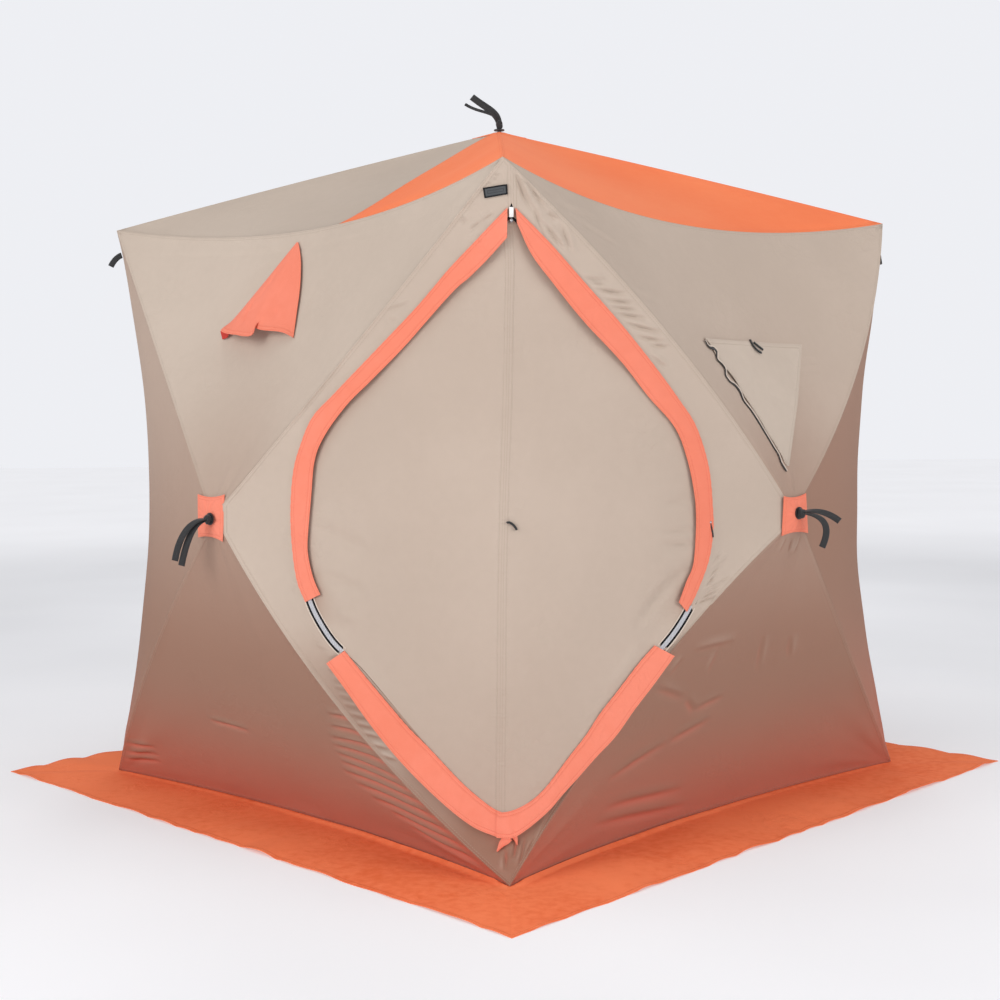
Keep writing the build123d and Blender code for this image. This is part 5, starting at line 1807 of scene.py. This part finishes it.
class HubDress(Group):
    """Hub patches and pull straps."""

    def build(self) -> None:
        """Makes the patches, straps and loops."""
        for wall in Wall:
            patches = (Seams.upper(wall),) * 2 + (Seams.lower(wall),) * 2
            corners = []
            for (a, b), patch in zip(PATCH_WINDOW if wall.has_window else PATCH_VENT, patches):
                corners.append(patch.at(*patch.find(wall.along, UP, np.array([a]), np.array([b])))[0])
            self._patch("patch_" + wall.label, Seams.hub(wall), corners, wall.normal, 7 + len(wall.label),
                        self.palette.orange)
            self._wall_strap(wall)
        corners = [self._on_seam(Seams.ridge(c))
                   for c in (Corner.FRONT, Corner.RIGHT, Corner.BACK, Corner.LEFT)]
        self._patch("patch_roof", UP * PLAN.roof_height, corners, UP, 5, self.palette.roof)
        self._roof_strap()
        self._loops()

    @staticmethod
    def _on_seam(seam: Array) -> Array:
        """Place on a roof seam 90 mm from the hub."""
        share = (0.090 - PLAN.hub_hole) / (2 * np.linalg.norm(seam[1] - seam[0]))
        return curve_at(seam, np.array([share]))[0]

    @staticmethod
    def _patch(name: str, hub: Array, c: list, axis: Array, seed: int, material: Material) -> None:
        """Square patch over a hub, with creases that run to its corners and a hem."""
        s, t = square(*GRIDS.hub_patch, -1.0)
        sag = (1 - t**2) * s * 0.06 + (1 - s**2) * t * 0.03
        flat = bilinear(c, (s + 1) / 2, (t + 1) / 2)
        flat = flat - (c[3] + c[2] - c[0] - c[1]) * 0.5 * (sag * np.abs(s))[..., None]
        rise = float((hub - sum(c) / 4) @ axis)
        cone = 1 - np.maximum(np.abs(s), np.abs(t))
        turn = np.arctan2(t, s)
        k = np.random.default_rng(seed).uniform(0, 6, 3)
        diagonal = np.abs(np.cos(2 * turn)) ** 6 * 0.0006 - np.abs(np.sin(2 * turn)) ** 14 * 0.0016
        wrinkle = (np.sin(turn * 9 + k[0]) + 0.6 * np.sin(turn * 17 + k[1])) * 0.0010 + diagonal
        wrinkle = wrinkle * np.sin(math.pi * clamp(cone * 1.15))
        base = LAYERS.roof_patch if axis is UP else LAYERS.wall_patch
        points = flat + axis * (rise * cone + base + wrinkle)[..., None]
        fields = edge_fields(points) | {"seam_d": cone * 0.062, "uv": (s * 0.064, t * 0.064)}
        cloth = Cloth(name, material, ["hub_patches"], "orange_cloth", "stretched", SHEET_THICK)
        cloth.build(points, axis, fields)

    def _wall_strap(self, wall: Wall) -> None:
        """Two tails and a knot at a wall hub."""
        hub = Seams.hub(wall)
        ahead = np.array([0.0, -1.0, 0.0]) if wall.in_view else wall.normal
        face = np.array([UP, UP + ahead, ahead, ahead])
        axes = np.array([wall.along, wall.normal, UP])
        for i, tail in enumerate(TAILS_WINDOW if wall.has_window else TAILS_VENT):
            line = hub + (np.array(tail) + [0, 5, 0]) / 1000 @ axes
            make_strip(f"strap_{i}_{wall.label}", line, face, 0.018, STRAP_THICK, self.palette.webbing,
                       ["wall_pull_straps"])
        self._knot("knot_" + wall.label, hub + wall.normal * LAYERS.knot, wall.normal, 0.013, 0.020)

    def _knot(self, name: str, centre: Array, axis: Array, radius: float, length: float) -> None:
        """Rounded lump of strap round the stud."""
        rows, cols = GRIDS.knot
        u, v = np.meshgrid(np.linspace(0, math.pi, rows), np.linspace(0, 2 * math.pi, cols, endpoint=False),
                           indexing="ij")
        side = unit(np.cross(axis, UP + axis * 0.3 + np.array([0.1, 0.2, 0])))
        r = radius * np.sin(u) * (1 + 0.12 * np.sin(3 * v + 2 * u) + 0.08 * np.sin(5 * u + v))
        points = (centre + axis * (np.cos(u) * length / 2)[..., None] + side * (r * np.cos(v))[..., None]
                  + np.cross(axis, side) * (r * np.sin(v))[..., None])
        flat = points.reshape(-1, 3)
        quads = wound(flat, grid_quads(rows, cols, ring=True), unit(flat - centre))
        obj = make_object(name, flat, quads, self.palette.webbing,
                          {"uv": np.stack([u.ravel() * radius, v.ravel() * radius], 1)})

    def _roof_strap(self) -> None:
        """Wide and thin tail and a knot on the roof hub."""
        top = UP * (PLAN.roof_height + 0.005)
        face = np.array([[-0.6, -0.8, 0.0], [-0.5, -0.9, 0.2], [0, -1, 0.3], [0, -1, 0.3]])
        for name, width, nodes, tail in TAILS_ROOF:
            make_strip("roof_strap_" + name, top + np.array(tail) / 1000, face, width, STRAP_THICK,
                       self.palette.webbing, nodes)
        self._knot("knot_roof", top + UP * LAYERS.roof_knot, UP, 0.011, 0.034)

    def _loops(self) -> None:
        """Webbing loops at the left and right top corners; the right one hangs."""
        for corner, reach, fall, faces in (
                (Corner.LEFT, (0.022, 0.036), (0.008, 0.036), np.array([0.0, -1.0, 0.3])),
                (Corner.RIGHT, (0.006, 0.010), (0.020, 0.052), Corner.RIGHT.axis + UP)):
            out = curve_at(Seams.fold(corner), np.array([0.045]))[0] + corner.axis * LAYERS.loop
            line = np.array([out] + [out + corner.axis * r - UP * f for r, f in zip(reach, fall)])
            make_strip("loop_" + corner.name.lower(), line, np.tile(faces, (3, 1)), 0.020, 0.0024,
                       self.palette.webbing, ["corner_loops"])


class Frame(Group):
    """Better materials for the CAD nodes that stay: hubs, poles and sockets."""

    def __init__(self, palette: Palette, nodes: dict) -> None:
        super().__init__(palette)
        self.nodes = nodes

    def build(self) -> None:
        """Gives each hard CAD node its material."""
        for name in ("wall_hubs", "roof_hub", "top_corner_sockets", "bottom_corner_sockets", "roof_poles",
                     "wall_poles"):
            obj = bpy.data.objects.get(name) or self.nodes.get(name)
            for slot in obj.material_slots:
                slot.material = self.palette.pole if name.endswith("poles") else self.palette.hub
            LOG.info("finish for %s", name)


# Studio
def pose(right: Array, up: Array, back: Array, place: Sequence[float]) -> Matrix:
    """Matrix of a camera or light that looks along -back."""
    matrix = np.eye(4)
    matrix[:3] = np.stack([right, up, back, place], 1)
    return Matrix(matrix.tolist())


class Studio(Group):
    """Camera at the photograph's view, soft lights, pale floor and world."""

    position = (-0.0305, -4.7818, 1.1181)
    yaw, pitch, roll = -0.0045, 0.0498, 0.0097
    focal_px = 1465.6
    picture_px = 1000.0
    sensor = 36.0
    floor_half = 40.0

    def build(self) -> None:
        """Makes camera, lights, floor and world."""
        self._camera()
        self._light("key", (-4.1, -4.8, 2.8), (0.0, 0.0, 0.9), 3.6, 165.0)
        self._light("fill", (4.5, -4.4, 2.4), (0.2, 0.0, 0.9), 3.4, 122.0)
        self._light("top", (0.0, -1.0, 5.8), (0.0, 0.0, 0.0), 4.0, 34.0)
        self._light("back", (0.5, 5.4, 3.6), (0.0, 0.0, 1.0), 3.6, 60.0)
        self._floor()
        self._world()

    def _camera(self) -> None:
        """Camera fitted to the photograph."""
        (cy, sy), (cp, sp), (cr, sr) = ((math.cos(x), math.sin(x)) for x in (self.yaw, self.pitch, self.roll))
        forward = np.array([-sy * cp, cy * cp, -sp])
        level, upright = np.array([cy, sy, 0.0]), np.array([-sy * sp, cy * sp, cp])
        data = bpy.data.cameras.new("camera")
        data.sensor_fit, data.sensor_width = "AUTO", self.sensor
        data.lens = self.focal_px * self.sensor / self.picture_px
        data.clip_start, data.clip_end = 0.05, 100.0
        cam = bpy.data.objects.new("camera", data)
        cam.matrix_world = pose(cr * level - sr * upright, sr * level + cr * upright, -forward, self.position)
        bpy.context.collection.objects.link(cam)
        bpy.context.scene.camera = cam

    @staticmethod
    def _light(name: str, place: Sequence[float], aim: Sequence[float], size: float, power: float) -> None:
        """Round soft light that faces a point."""
        data = bpy.data.lights.new(name, "AREA")
        data.shape, data.size, data.energy = "DISK", size, power
        obj = bpy.data.objects.new(name, data)
        back = unit(np.array(place) - np.array(aim))
        side = unit(np.cross(UP, back))
        obj.matrix_world = pose(side, np.cross(back, side), back, place)
        bpy.context.collection.objects.link(obj)

    def _floor(self) -> None:
        """Pale floor."""
        mesh = bpy.data.meshes.new("floor")
        r = self.floor_half
        mesh.from_pydata([(-r, -r, 0), (r, -r, 0), (r, r, 0), (-r, r, 0)], [], [(0, 1, 2, 3)])
        mesh.materials.append(self.palette.floor)
        obj = bpy.data.objects.new("floor", mesh)
        bpy.context.collection.objects.link(obj)

    @staticmethod
    def _world() -> None:
        """Even soft light; the plain backdrop itself is paler than the light it gives."""
        world = bpy.data.worlds.new("studio")
        world.use_nodes = True
        n = Nodes(world.node_tree)
        seen = n.add("ShaderNodeLightPath").outputs["Is Camera Ray"]
        back = n.add("ShaderNodeBackground", Color=(0.95, 0.96, 1.0, 1),
                     Strength=n.plus(n.times(seen, 0.40), 0.5))
        n.add("ShaderNodeOutputWorld", Surface=back.outputs[0])
        bpy.context.scene.world = world
        bpy.context.scene.view_settings.view_transform = "Standard"


def main() -> None:
    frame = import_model()
    palette = Palette()
    for part in (Studio, WallPanels, CornerPanels, DoorSet, Roof, Skirt, WallFittings, HubDress):
        part(palette).build()
    Frame(palette, frame["nodes"]).build()
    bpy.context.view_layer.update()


if __name__ == "__main__":
    main()
